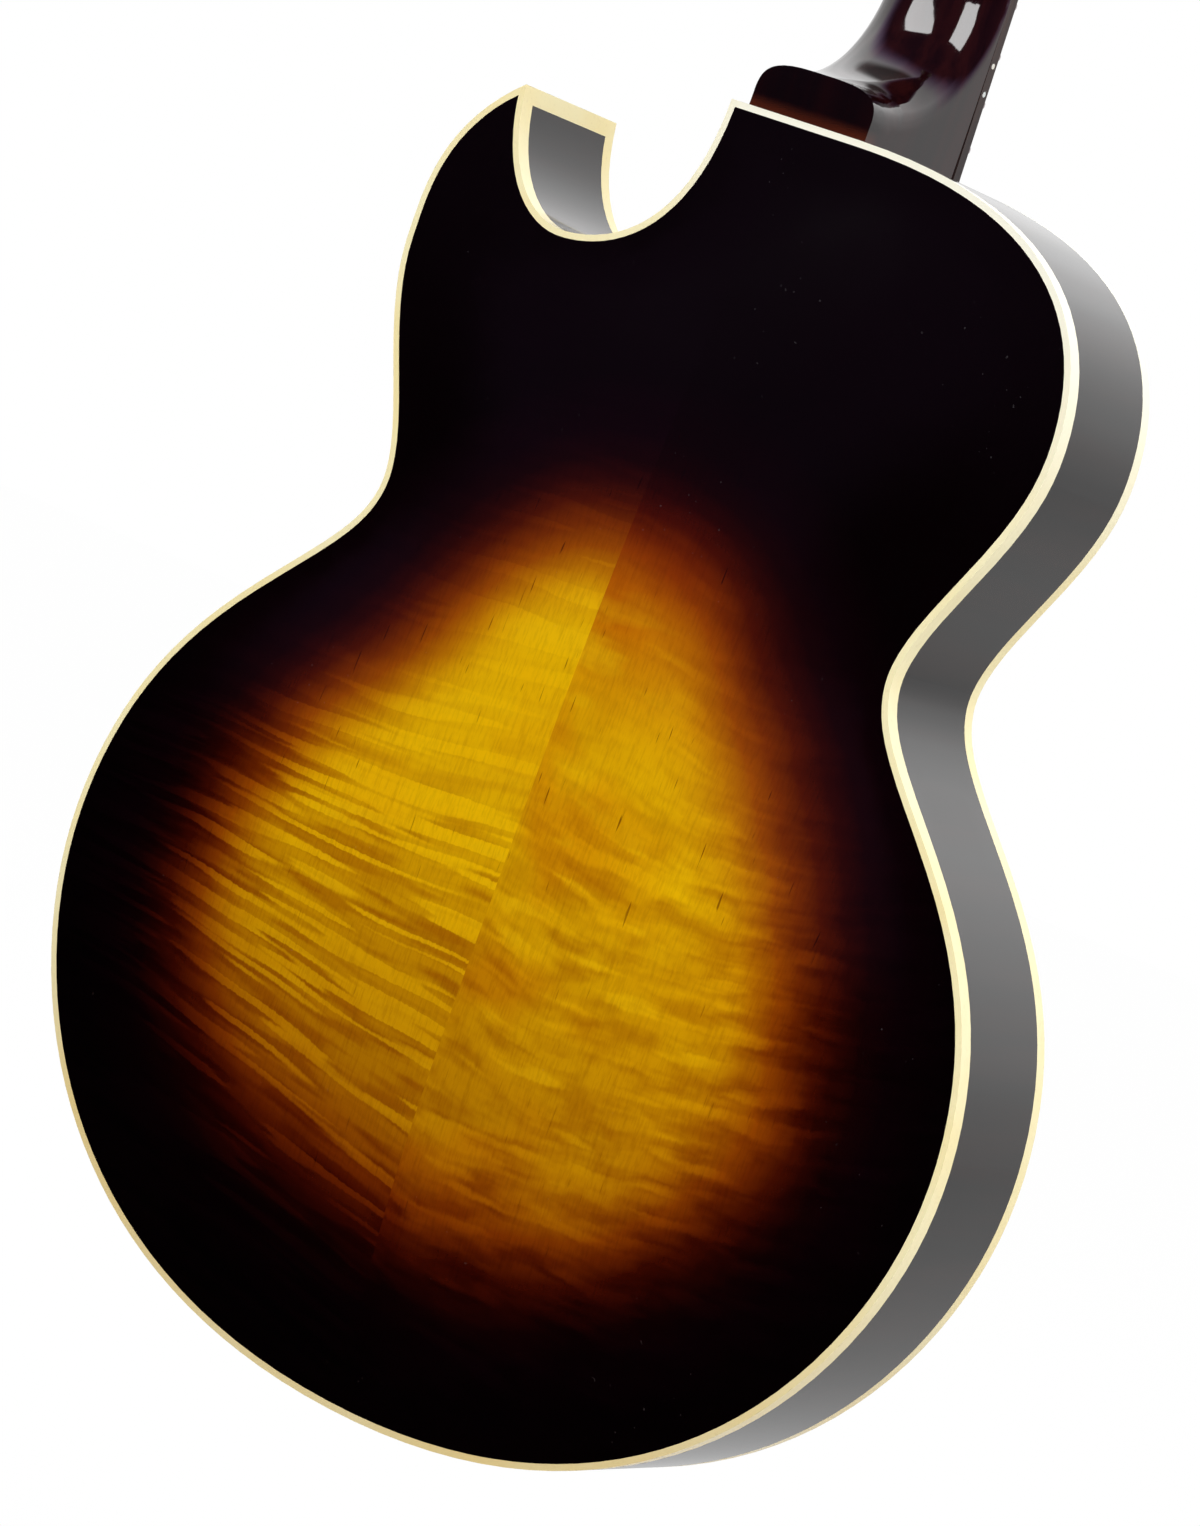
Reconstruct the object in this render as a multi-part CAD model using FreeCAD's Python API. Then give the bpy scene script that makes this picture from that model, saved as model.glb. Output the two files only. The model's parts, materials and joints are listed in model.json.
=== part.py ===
import FreeCAD, Part
import math
import os

V = FreeCAD.Vector
Placement = FreeCAD.Placement
Rotation = FreeCAD.Rotation

# Hollow archtop guitar. The bench frame has X to the treble side, Y from the tail to the
# head and Z from the back to the front, with the end pin at the origin. All sizes in mm.

# Body outline
LOWER_BOUT = 406.4
WAIST = 236.0
UPPER_BOUT = 295.0
HORN_HALF = 145.3
BODY_LENGTH = 509.4
SHOULDER_HALF = 28.5
RIM_DEPTH = 67.6

# Body pieces
BINDING = 2.5
BACK_BINDING_HEIGHT = 7.2
TOP_BINDING_HEIGHT = 6.0
HORN_STRIP = 6.5
PLATE = 4.5
LINING = 6.5
LINING_HEIGHT = 14.0
GLUE_GAP = 0.05
PLATE_GAP = 0.2
FLAT_EDGE = 9.0
BACK_ARCH = 14.0
TOP_ARCH = 16.0
NECK_BLOCK_LENGTH = 50.0
NECK_BLOCK_HALF = 38.0
END_BLOCK_LENGTH = 30.0
END_BLOCK_HALF = 35.0
TONE_BAR_WIDTH = 7.0
TONE_BAR_HEIGHT = 12.0
TONE_BAR_X = 52.0

# Neck, fingerboard and headstock
SCALE = 628.65
JOIN_OFFSET = 2.3
NECK_ANGLE = 3.0
BOARD_LIFT = 18.6
BOARD_THICK = 6.0
BOARD_RADIUS = 305.0
NUT_HALF = 21.5
JOIN_HALF = 26.2
FRET_COUNT = 20
FRET_WIDTH = 2.6
FRET_HEIGHT = 1.1
NUT_LENGTH = 5.0
NECK_DEPTH_NUT = 14.5
NECK_DEPTH_JOIN = 16.5
NECK_ROUND = 2.0
HEEL_WIDTH = 52.0
HEEL_ROUND = 3.4
HEEL_ROUND_DEPTH = 14.0
HEEL_REACH = 19.2
HEEL_END = 8.7
HEEL_SWEEP_LENGTH = 41.8
HEEL_SWEEP_DEPTH = 46.9
SHAFT_START = 8.0
TENON_HALF = 11.0
TENON_LENGTH = 16.0
TENON_DEPTH = 43.0
HEAD_ANGLE = 17.0
HEAD_LENGTH = 186.0
HEAD_THICK = 15.0
HEAD_LOW_HALF = 34.5
HEAD_TOP_HALF = 41.0
VENEER = 1.5
ROD_RADIUS = 2.4
ROD_DEPTH = 14.3
ROD_START = 2.0
ROD_NUT_RADIUS = 3.6
ROD_NUT_LENGTH = 9.5
ROD_NUT_START = 4.0

# Machine heads
TUNER_FIRST = 47.0
TUNER_STEP = 38.0
TUNER_INSET = 13.0
POST_RADIUS = 3.0
POST_TOP = 17.0
RUN_CLEAR = 0.07
GEAR_RADIUS = 6.5
GEAR_TEETH = 14
GEAR_THICK = 4.0
WORM_RADIUS = 3.0
WORM_LENGTH = 12.0
BUTTON_SHAFT = 2.2
HOUSING_HALF = 9.0
HOUSING_HEIGHT = 13.0
BUTTON_GAP = 4.0
BUTTON_WIDTH = 13.0
BUTTON_LENGTH = 19.0
BUTTON_THICK = 7.5

# Strings, from the bass side
STRING_DIAMETERS = [1.32, 1.07, 0.81, 0.61, 0.41, 0.31]
NUT_SPACING = 7.1
SADDLE_SPACING = 10.3
NUT_ACTION = 1.5
SADDLE_ACTION = 4.7
GROOVE_CLEAR = 0.3

# Bridge
BRIDGE_HALF = 74.0
BRIDGE_WIDTH = 18.0
BRIDGE_BASE_HEIGHT = 6.3
BRIDGE_END_DROP = 4.8
POST_SPACING = 74.0
BRIDGE_POST = 2.0
WHEEL_RADIUS = 9.0
WHEEL_THICK = 3.5
WHEEL_GAP = 2.6
SADDLE_HALF = 47.0
SADDLE_WIDTH = 9.0
SADDLE_TOP_WIDTH = 4.0
POST_IN_SADDLE = 3.8
SADDLE_HOLE_SPARE = 2.0

# Tailpiece and end pin
TAIL_SHEET = 1.6
TAIL_HALF = 16.0
TAIL_REACH = 118.0
TAIL_RISE = 21.0
BAR_HALF = 42.0
BAR_LENGTH = 13.0
BAR_HEIGHT = 9.0
TAIL_DROP = 11.0
PIN_LENGTH = 6.5
PIN_RADIUS = 7.0
PIN_WAIST = 4.6

# Pickups
PICKUP_LENGTH = 70.0
PICKUP_WIDTH = 38.0
PICKUP_DEPTH = 13.0
COVER_WALL = 0.8
RING_LENGTH = 89.0
RING_WIDTH = 45.0
RING_DROP = 3.2
RING_TOP = 3.0
RING_CLEAR = 0.7
RING_SCREW = 19.0
EAR_HALF = 5.0
EAR_REACH = 6.5
PICKUP_BELOW = 0.6
BRIDGE_PICKUP_Y = 44.0
POLE_RADIUS = 2.4

# Controls
KNOB_RADIUS = 12.5
KNOB_CROWN = 8.9
KNOB_HEIGHT = 14.0
KNOB_SKIRT = 1.4
KNOB_GAP = 1.2
POT_RADIUS = 12.0
POT_HEIGHT = 9.0
BUSHING_RADIUS = 4.7
SHAFT_RADIUS = 3.0
SWITCH_RADIUS = 5.9
SWITCH_BORE = 4.2
SWITCH_PIVOT = 2.0
SWITCH_PIN_RADIUS = 1.2
SWITCH_PIN_REACH = 5.2
JACK_BORE = 3.25
JACK_RADIUS = 4.7
JACK_LENGTH = 20.0

# Pickguard
GUARD_THICK = 3.0
GUARD_DROP = 8.0
GUARD_INNER = 47.0
STANDOFF_RADIUS = 3.5

HALF = RIM_DEPTH / 2
BACK_IN = -HALF + PLATE
TOP_IN = HALF - PLATE
SIDE_LOW = -HALF + BACK_BINDING_HEIGHT
SIDE_HIGH = HALF - TOP_BINDING_HEIGHT
BOARD_Z = HALF + BOARD_LIFT
NECK = Placement(V(0, BODY_LENGTH, BOARD_Z), Rotation(V(1, 0, 0), -NECK_ANGLE))
NUT_S = SCALE * (1 - 2 ** (-14 / 12)) - JOIN_OFFSET
HEAD_S = NUT_S + NUT_LENGTH
HEAD = NECK.multiply(Placement(V(0, HEAD_S, -BOARD_THICK), Rotation(V(1, 0, 0), -HEAD_ANGLE)))
STAND = Placement(V(0, 0, 0), Rotation(V(1, 0, 0), 90))

pieces = {}


def add(name, *solids):
    pieces.setdefault(name, []).extend(solids)


def axis(name, place, point, direction):
    at = STAND.multVec(place.multVec(point))
    way = STAND.Rotation.multVec(place.Rotation.multVec(direction))
    print("axis", name, [round(c / 1000, 6) for c in at], [round(c, 6) for c in way])


def box(x0, x1, y0, y1, z0, z1):
    return Part.makeBox(x1 - x0, y1 - y0, z1 - z0, V(x0, y0, z0))


def rod(radius, start, end):
    way = end.sub(start)
    return Part.makeCylinder(radius, way.Length, start, way)


def placed(shape, place):
    moved = shape.copy()
    moved.Placement = place.multiply(moved.Placement)
    return moved


def spline(points):
    curve = Part.BSplineCurve()
    curve.interpolate(Points=points)
    return curve.toShape()


def fused(solids):
    whole = solids[0]
    if len(solids) > 1:
        whole = solids[0].multiFuse(solids[1:])
    whole = whole.removeSplitter()
    return whole.Solids[0] if len(whole.Solids) == 1 else whole


def polygon(points):
    return Part.makePolygon(points + [points[0]])


def slab(points, z0, z1):
    wire = polygon([V(x, y, z0) for x, y in points])
    return Part.Face(wire).extrude(V(0, 0, z1 - z0))


def rounded_slab(x0, x1, y0, y1, z0, z1, radius):
    block = box(x0, x1, y0, y1, z0, z1)
    upright = [e for e in block.Edges if abs(e.tangentAt(e.FirstParameter).z) > 0.9]
    return block.makeFillet(radius, upright)


# Outline of the body as Bezier spans, counter-clockwise seen from the front
def body_spans():
    low = LOWER_BOUT / 2
    mid = WAIST / 2
    up = UPPER_BOUT / 2
    horn_up = HORN_HALF
    length = BODY_LENGTH
    low_y = 0.329 * length
    mid_y = 0.652 * length
    up_y = 0.8326 * length
    tip = (0.805 * horn_up, 0.963 * length)
    dip = (0.5533 * horn_up, 0.8702 * length)
    right = [
        [(0, 0), (0.75 * low, 0), (low, low_y - 0.124 * length), (low, low_y)],
        [(low, low_y), (low, low_y + 0.196 * length), (mid, mid_y - 0.0755 * length), (mid, mid_y)],
    ]
    rise = [(mid, mid_y), (mid, mid_y + 0.049 * length), (up, up_y - 0.0685 * length), (up, up_y)]
    shoulder = (SHOULDER_HALF, length)
    last = [(up, up_y), (up, up_y + 0.08 * length), (SHOULDER_HALF + 0.65 * up, length), shoulder]
    left = [[(-x, y) for x, y in reversed(span)] for span in reversed(right + [rise, last])]
    neck_side = [(mid, mid_y), (mid, mid_y + 0.049 * length), (horn_up, up_y - 0.0685 * length),
                 (horn_up, up_y)]
    horn = [(horn_up, up_y), (horn_up, up_y + 0.0274 * length),
            (tip[0] + 0.219 * horn_up, tip[1] - 0.0474 * length), tip]
    inner = [tip, (tip[0] - 0.033 * horn_up, tip[1] - 0.0723 * length),
             (dip[0] + 0.0827 * horn_up, dip[1]), dip]
    corner = [dip, (dip[0] - 0.1015 * horn_up, dip[1]), (SHOULDER_HALF, length - 0.116 * length), shoulder]
    return right + [neck_side, horn], [inner, corner], left


def chain_points(chain, inset, count):
    points = []
    for span in chain:
        for i in range(count + 1):
            if i == 0 and points:
                continue
            t = i / count
            a = (1 - t) ** 3
            b = 3 * (1 - t) ** 2 * t
            c = 3 * (1 - t) * t * t
            d = t ** 3
            x = a * span[0][0] + b * span[1][0] + c * span[2][0] + d * span[3][0]
            y = a * span[0][1] + b * span[1][1] + c * span[2][1] + d * span[3][1]
            tx = sum(w * (span[k + 1][0] - span[k][0])
                     for k, w in enumerate([(1 - t) ** 2, 2 * (1 - t) * t, t * t]))
            ty = sum(w * (span[k + 1][1] - span[k][1])
                     for k, w in enumerate([(1 - t) ** 2, 2 * (1 - t) * t, t * t]))
            size = math.hypot(tx, ty)
            points.append(V(x - inset * ty / size, y + inset * tx / size, 0))
    return points


def crossing(a, b, c, d):
    rx, ry = b.x - a.x, b.y - a.y
    sx, sy = d.x - c.x, d.y - c.y
    det = rx * sy - ry * sx
    if abs(det) < 1e-9:
        return None
    t = ((c.x - a.x) * sy - (c.y - a.y) * sx) / det
    u = ((c.x - a.x) * ry - (c.y - a.y) * rx) / det
    if 0 <= t <= 1 and 0 <= u <= 1:
        return V(a.x + t * rx, a.y + t * ry, 0)
    return None


def outline_points(inset, count=9):
    right, cut, left = body_spans()
    outer = chain_points(right, inset, count)
    inner = chain_points(cut, inset, count)
    bass = chain_points(left, inset, count)
    if inset > 0:
        found = None
        for i in range(len(outer) - 2, len(outer) // 2, -1):
            for j in range(len(inner) // 2):
                meet = crossing(outer[i], outer[i + 1], inner[j], inner[j + 1])
                if meet:
                    found = (i, j, meet)
            if found:
                break
        i, j, meet = found
        outer = outer[:i + 1] + [meet]
        inner = [meet] + inner[j + 1:]
        if outer[-1].distanceToPoint(outer[-2]) < 0.5:
            outer.pop(-2)
        if inner[0].distanceToPoint(inner[1]) < 0.5:
            inner.pop(1)
    level = BODY_LENGTH - inset
    keep = [p for p in inner if p.y < level - 0.5 or p.x > 2 * SHOULDER_HALF]
    inner = keep + [V(SHOULDER_HALF - inset, level, 0)]
    return outer, inner, bass


def outline_wire(inset):
    outer, inner, bass = outline_points(inset)
    edges = [spline(bass + outer[1:]), spline(inner), Part.makeLine(inner[-1], bass[0])]
    return Part.Wire(edges)


def body_prism(inset, z0, z1):
    face = Part.Face(outline_wire(inset))
    face.translate(V(0, 0, z0))
    return face.extrude(V(0, 0, z1 - z0))


def ring(outer, inner, z0, z1):
    return body_prism(outer, z0, z1).cut(body_prism(inner, z0 - 1, z1 + 1))


# Arching: a soap-film shape over the outline, flat along the edge
GRID = 12.0
GRID_X = math.ceil((LOWER_BOUT / 2 + GRID) / GRID)
GRID_Y = math.ceil((BODY_LENGTH + 2 * GRID) / GRID)


def film():
    step = GRID / 2
    columns = 4 * GRID_X + 1
    rows = 2 * GRID_Y + 3
    outer, inner, bass = outline_points(FLAT_EDGE)
    loop = outer + inner[1:] + bass
    inside = []
    for i in range(columns):
        x = (i - 2 * GRID_X) * step
        crossings = []
        for k, p in enumerate(loop):
            q = loop[(k + 1) % len(loop)]
            if (p.x > x) != (q.x > x):
                crossings.append(p.y + (x - p.x) / (q.x - p.x) * (q.y - p.y))
        for j in range(1, rows - 1):
            y = (j - 2) * step
            if sum(1 for c in crossings if c > y) % 2:
                inside.append((i, j))
    height = [[0.0] * rows for _ in range(columns)]
    for _ in range(160):
        for i, j in inside:
            around = height[i - 1][j] + height[i + 1][j] + height[i][j - 1] + height[i][j + 1]
            height[i][j] += 1.9 * ((around + 1) / 4 - height[i][j])
    top = max(max(column) for column in height)
    return [[height[2 * i][2 * j] / top for j in range(GRID_Y + 2)] for i in range(2 * GRID_X + 1)]


def arched_surface(shape, side, rise):
    points = []
    for i, column in enumerate(shape):
        line = []
        for j, s in enumerate(column):
            lift = rise * s * s * (3 - 2 * s)
            line.append(V((i - GRID_X) * GRID, (j - 1) * GRID, side * (HALF + lift)))
        points.append(line)
    surface = Part.BSplineSurface()
    surface.interpolate(points)
    return surface


film_shape = film()
top_surface = arched_surface(film_shape, 1, TOP_ARCH)
back_surface = arched_surface(film_shape, -1, BACK_ARCH)
top_face = top_surface.toShape()
back_face = back_surface.toShape()
plate_prism = body_prism(BINDING, -RIM_DEPTH, RIM_DEPTH)
top_plate = top_face.extrude(V(0, 0, -PLATE)).common(plate_prism)
back_plate = back_face.extrude(V(0, 0, PLATE)).common(plate_prism)
under_top = top_face.extrude(V(0, 0, -RIM_DEPTH)).common(body_prism(0, -RIM_DEPTH, RIM_DEPTH))


def top_frame(x, y):
    u, v = top_surface.parameter(V(x, y, HALF + TOP_ARCH / 2))
    for _ in range(6):
        at = top_surface.value(u, v)
        u, v = top_surface.parameter(V(x, y, at.z))
    at = top_surface.value(u, v)
    normal = top_surface.normal(u, v)
    if normal.z < 0:
        normal = normal.negative()
    return Placement(at, Rotation(V(0, 0, 1), normal))


# Rim, bindings, linings and blocks
wide = LOWER_BOUT
deep = RIM_DEPTH
tip_point = body_spans()[1][0][0]
dip_point = body_spans()[1][0][3]
side_ring = ring(0, BINDING, SIDE_LOW, SIDE_HIGH)
horn_box = box(dip_point[0], wide, tip_point[1] - HORN_STRIP, 2 * BODY_LENGTH, -deep, deep)
horn_strip = side_ring.common(horn_box)
side_ring = side_ring.cut(horn_box)
bass_box = box(-wide, 0, -wide, 2 * BODY_LENGTH, -deep, deep)
cut_box = slab([(0, dip_point[1] - 4 * BINDING), (dip_point[0] + 4 * BINDING, dip_point[1] - 4 * BINDING),
                (tip_point[0] + 8, dip_point[1] + 12), (tip_point[0] + 8, tip_point[1] - 20),
                (tip_point[0] + 1.8, tip_point[1] - HORN_STRIP), (tip_point[0] + 1.8, 2 * BODY_LENGTH),
                (0, 2 * BODY_LENGTH)], -deep, deep)
tenon_low = SIDE_HIGH - TENON_DEPTH
tenon = box(-TENON_HALF, TENON_HALF, BODY_LENGTH - BINDING - TENON_LENGTH, BODY_LENGTH + 4,
            tenon_low, SIDE_HIGH)
side_ring = side_ring.cut(tenon)
bass_side = side_ring.common(bass_box)
cutaway_side = side_ring.cut(bass_box).common(cut_box)
treble_side = side_ring.cut(bass_box).cut(cut_box)
back_binding = ring(0, BINDING, -HALF, SIDE_LOW)
top_binding = ring(0, BINDING, SIDE_HIGH, HALF)

room_low = BACK_IN + PLATE_GAP
room_high = TOP_IN - PLATE_GAP
inner_prism = body_prism(BINDING + GLUE_GAP, room_low, room_high)
neck_block = box(-NECK_BLOCK_HALF, NECK_BLOCK_HALF, BODY_LENGTH - BINDING - NECK_BLOCK_LENGTH,
                 BODY_LENGTH, BACK_IN, TOP_IN).common(inner_prism)
neck_block = neck_block.cut(tenon)
end_block = box(-END_BLOCK_HALF, END_BLOCK_HALF, 0, BINDING + END_BLOCK_LENGTH,
                BACK_IN, TOP_IN).common(inner_prism)
block_room = [
    box(-NECK_BLOCK_HALF, NECK_BLOCK_HALF, BODY_LENGTH - BINDING - NECK_BLOCK_LENGTH,
        BODY_LENGTH + 1, -deep, deep),
    box(-END_BLOCK_HALF, END_BLOCK_HALF, -1, BINDING + END_BLOCK_LENGTH, -deep, deep),
]
lining_ring = ring(BINDING + GLUE_GAP, BINDING + LINING, room_low, room_high)
lining_ring = lining_ring.cut(Part.makeCompound(block_room))
far = 2 * BODY_LENGTH
back_lining = lining_ring.common(box(-wide, wide, -wide, far, room_low, room_low + LINING_HEIGHT))
top_lining = lining_ring.common(box(-wide, wide, -wide, far, room_high - LINING_HEIGHT, room_high))

bar_face = top_face.copy()
bar_face.translate(V(0, 0, -PLATE))
bar_layer = bar_face.extrude(V(0, 0, -TONE_BAR_HEIGHT))
bars = []
for side in (-1, 1):
    strip = box(side * TONE_BAR_X - TONE_BAR_WIDTH / 2, side * TONE_BAR_X + TONE_BAR_WIDTH / 2,
                0.21 * BODY_LENGTH, 0.83 * BODY_LENGTH, 0, deep)
    bars.append(bar_layer.common(strip))

# Neck frame: S runs along the fingerboard from the body edge, H stands on its top
def board_half(s):
    return NUT_HALF + (JOIN_HALF - NUT_HALF) * (NUT_S - s) / NUT_S


def fret_s(number):
    return NUT_S - SCALE * (1 - 2 ** (-number / 12))


BRIDGE_S = NUT_S - SCALE
BOARD_END_S = fret_s(FRET_COUNT) - 9.0
BRIDGE_Y = NECK.multVec(V(0, BRIDGE_S, SADDLE_ACTION)).y
board_low = -BOARD_THICK
heel_apex = NECK.inverse().multVec(V(0, BODY_LENGTH + HEEL_REACH, -HALF + HEEL_END))
sweep_s = heel_apex.y + HEEL_SWEEP_LENGTH
shaft_depth = NECK_DEPTH_JOIN
sweep_h = board_low - shaft_depth - HEEL_SWEEP_DEPTH


def neck_section(base, way, inner, outer, half, depth, power):
    curve = []
    count = 14
    for k in range(count + 1):
        angle = math.pi * k / count
        x = half * math.copysign(abs(math.cos(angle)) ** (2 / power), math.cos(angle))
        r = inner + depth * (1 - abs(math.sin(angle)) ** (2 / power))
        curve.append(base.add(V(x, way.y * r, way.z * r)))
    a = base.add(V(-half, way.y * outer, way.z * outer))
    b = base.add(V(half, way.y * outer, way.z * outer))
    edges = [spline(curve), Part.makeLine(curve[-1], a), Part.makeLine(a, b), Part.makeLine(b, curve[0])]
    return Part.Wire(edges)


def neck_sections():
    sections = []
    heel_half = HEEL_WIDTH / 2
    for drop in (24.0, 12.0):
        base = V(0, sweep_s, sweep_h - drop)
        sections.append(neck_section(base, V(0, -1, 0), HEEL_SWEEP_LENGTH, sweep_s + 20,
                                     heel_half, HEEL_ROUND_DEPTH, HEEL_ROUND))
    start_half = board_half(sweep_s)
    steps = 8
    for k in range(steps + 1):
        part = k / steps
        turn = math.pi - part * math.pi / 2
        c, s = math.cos(turn), math.sin(turn)
        inner = 1 / math.sqrt((c / HEEL_SWEEP_LENGTH) ** 2 + (s / HEEL_SWEEP_DEPTH) ** 2)
        limits = []
        if s > 0.01:
            limits.append((4 - sweep_h) / s)
        if c < -0.01:
            limits.append((sweep_s + 20) / -c)
        outer = min(limits)
        half = heel_half + (start_half - heel_half) * part
        depth = HEEL_ROUND_DEPTH + (shaft_depth - 0.5 - HEEL_ROUND_DEPTH) * part
        power = HEEL_ROUND + (NECK_ROUND - HEEL_ROUND) * part
        sections.append(neck_section(V(0, sweep_s, sweep_h), V(0, c, s), inner, outer, half, depth, power))
    sections.append(shaft_section(sweep_s + SHAFT_START))
    return sections


def shaft_section(s):
    part = (s - sweep_s) / (HEAD_S - sweep_s)
    depth = shaft_depth + (NECK_DEPTH_NUT - shaft_depth) * part
    return neck_section(V(0, s, 0), V(0, 0, 1), board_low - depth, 4.0, board_half(s), depth - 0.5,
                        NECK_ROUND)


def head_half(y):
    return HEAD_LOW_HALF + (HEAD_TOP_HALF - HEAD_LOW_HALF) * (y - 30) / (HEAD_LENGTH - 46)


def head_wire():
    start = board_half(HEAD_S)
    flare = [V(start, -8, 0), V(start + 0.5, 2, 0), V(start + 4.5, 13, 0),
             V(HEAD_LOW_HALF - 3.5, 21, 0), V(HEAD_LOW_HALF, 31, 0)]
    shoulder = V(HEAD_TOP_HALF, HEAD_LENGTH - 16, 0)
    corner = V(HEAD_TOP_HALF - 9, HEAD_LENGTH - 7, 0)
    bend = V(HEAD_TOP_HALF - 2.4, HEAD_LENGTH - 9.4, 0)
    other = [V(-p.x, p.y, 0) for p in flare]
    edges = [
        spline(flare),
        Part.makeLine(flare[-1], shoulder),
        Part.Arc(shoulder, bend, corner).toShape(),
        Part.Arc(corner, V(0, HEAD_LENGTH, 0), V(-corner.x, corner.y, 0)).toShape(),
        Part.Arc(V(-corner.x, corner.y, 0), V(-bend.x, bend.y, 0), V(-shoulder.x, shoulder.y, 0)).toShape(),
        Part.makeLine(V(-shoulder.x, shoulder.y, 0), other[-1]),
        spline(other),
        Part.makeLine(other[0], flare[0]),
    ]
    return Part.Wire(Part.__sortEdges__(edges))


head_face = Part.Face(head_wire())
head_low = head_face.copy()
head_low.translate(V(0, 0, -HEAD_THICK))
head_wood = head_low.extrude(V(0, 0, HEAD_THICK - VENEER))
veneer = head_face.copy()
veneer.translate(V(0, 0, -VENEER))
veneer = veneer.extrude(V(0, 0, VENEER)).common(box(-wide, wide, 0, wide, -deep, deep))

heel_loft = Part.makeLoft(neck_sections(), True, False)
shaft_loft = Part.makeLoft([shaft_section(sweep_s + SHAFT_START), shaft_section(HEAD_S)], True, True)
shaft = fused([heel_loft, shaft_loft])
over_board = box(-wide, wide, -wide, 2 * BODY_LENGTH, board_low, wide)
shaft = shaft.cut(over_board)
head_in_neck = NECK.inverse().multiply(HEAD)
head_part = placed(head_wood, head_in_neck).cut(over_board)
tongue = slab([(-board_half(BOARD_END_S) + 0.6, BOARD_END_S), (board_half(BOARD_END_S) - 0.6, BOARD_END_S),
               (JOIN_HALF - 0.6, 6), (-JOIN_HALF + 0.6, 6)], board_low - 2 * BOARD_LIFT, board_low)
pocket = box(-ROD_NUT_RADIUS - 1.2, ROD_NUT_RADIUS + 1.2, HEAD_S + ROD_NUT_START - 1.2, HEAD_S + 31,
             -ROD_DEPTH - ROD_NUT_RADIUS - 1, 6)
nut_start = HEAD_S + ROD_NUT_START
rod_end = nut_start + ROD_NUT_LENGTH * 0.6
rod_bore = rod(ROD_RADIUS + RUN_CLEAR, V(0, ROD_START, -ROD_DEPTH), V(0, nut_start, -ROD_DEPTH))
neck_body = placed(shaft, NECK).cut(body_prism(0, -2 * deep, HALF))
neck_body = neck_body.cut(box(-wide, wide, 0, 2 * BODY_LENGTH, -2 * deep, -HALF + HEEL_END))
neck_body = neck_body.cut(box(-wide, wide, -wide, BODY_LENGTH, -deep, 2 * deep))
tongue_body = placed(tongue, NECK).cut(under_top).cut(box(-wide, wide, BODY_LENGTH, 2 * BODY_LENGTH,
                                                          -deep, HALF))
neck = fused([neck_body, tongue_body, tenon, placed(head_part, NECK)])
neck_cutters = [placed(veneer, HEAD), placed(pocket, NECK), placed(rod_bore, NECK)]

board_plan = [(-board_half(BOARD_END_S), BOARD_END_S), (board_half(BOARD_END_S), BOARD_END_S),
              (board_half(NUT_S), NUT_S), (-board_half(NUT_S), NUT_S)]
camber = Part.makeCylinder(BOARD_RADIUS, 2 * SCALE, V(0, -SCALE, -BOARD_RADIUS), V(0, 1, 0))
board = slab(board_plan, board_low, 2).common(camber)

frets = []
for number in range(1, FRET_COUNT + 1):
    s = fret_s(number)
    reach = math.asin((board_half(s) - 0.3) / BOARD_RADIUS)
    crown = [V(0, s - FRET_WIDTH / 2, 0), V(0, s - 0.36 * FRET_WIDTH, 0.75 * FRET_HEIGHT),
             V(0, s, FRET_HEIGHT),
             V(0, s + 0.36 * FRET_WIDTH, 0.75 * FRET_HEIGHT), V(0, s + FRET_WIDTH / 2, 0)]
    profile = Part.Face(Part.Wire([spline(crown), Part.makeLine(crown[-1], crown[0])]))
    profile.rotate(V(0, s, -BOARD_RADIUS), V(0, 1, 0), -math.degrees(reach))
    frets.append(profile.revolve(V(0, s, -BOARD_RADIUS), V(0, 1, 0), 2 * math.degrees(reach)))

markers = []
for number in (3, 5, 7, 9, 12, 15, 17, 19):
    s = (fret_s(number - 1) + fret_s(number)) / 2
    spots = [0.0]
    if number == 12:
        spots = [-10.3, 10.3]
    for x in spots:
        markers.append(Part.makeCylinder(3.2, 4, V(x, s, -1.6)).common(camber))
    along = [0.0]
    if number == 12:
        along = [-5.5, 5.5]
    for step in along:
        edge = V(-board_half(s + step), s + step, -3.6)
        wall = slab(board_plan, board_low, 2)
        markers.append(rod(1.1, edge.add(V(-1, 0, 0)), edge.add(V(1.5, 0, 0))).common(wall))
board = board.cut(Part.makeCompound(markers))


# Strings
class StringLine:
    def __init__(self, diameter, place):
        self.radius = diameter / 2
        self.place = place


strings = []
for number, diameter in enumerate(STRING_DIAMETERS):
    line = StringLine(diameter, number - 2.5)
    nut_x = line.place * NUT_SPACING
    saddle_x = line.place * SADDLE_SPACING
    line.nut = V(nut_x, NUT_S + NUT_LENGTH / 2, NUT_ACTION - nut_x ** 2 / (2 * BOARD_RADIUS) + line.radius)
    line.saddle = V(saddle_x, BRIDGE_S, SADDLE_ACTION - saddle_x ** 2 / (2 * BOARD_RADIUS) + line.radius)
    line.saddle_at = NECK.multVec(line.saddle)
    strings.append(line)

nut = slab([(-board_half(NUT_S), NUT_S), (board_half(NUT_S), NUT_S),
            (board_half(HEAD_S), HEAD_S), (-board_half(HEAD_S), HEAD_S)], board_low, 4)
nut_round = Part.makeCylinder(BOARD_RADIUS, 40, V(0, NUT_S - 10, NUT_ACTION + 0.5 - BOARD_RADIUS),
                              V(0, 1, 0))
nut = nut.common(nut_round)

# Machine heads, in the headstock frame
winding_low = 5.0
gear_h = -HEAD_THICK - 0.45 * HOUSING_HEIGHT
worm_off = GEAR_RADIUS + WORM_RADIUS + 0.15
housing_low = -HEAD_THICK - HOUSING_HEIGHT


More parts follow.
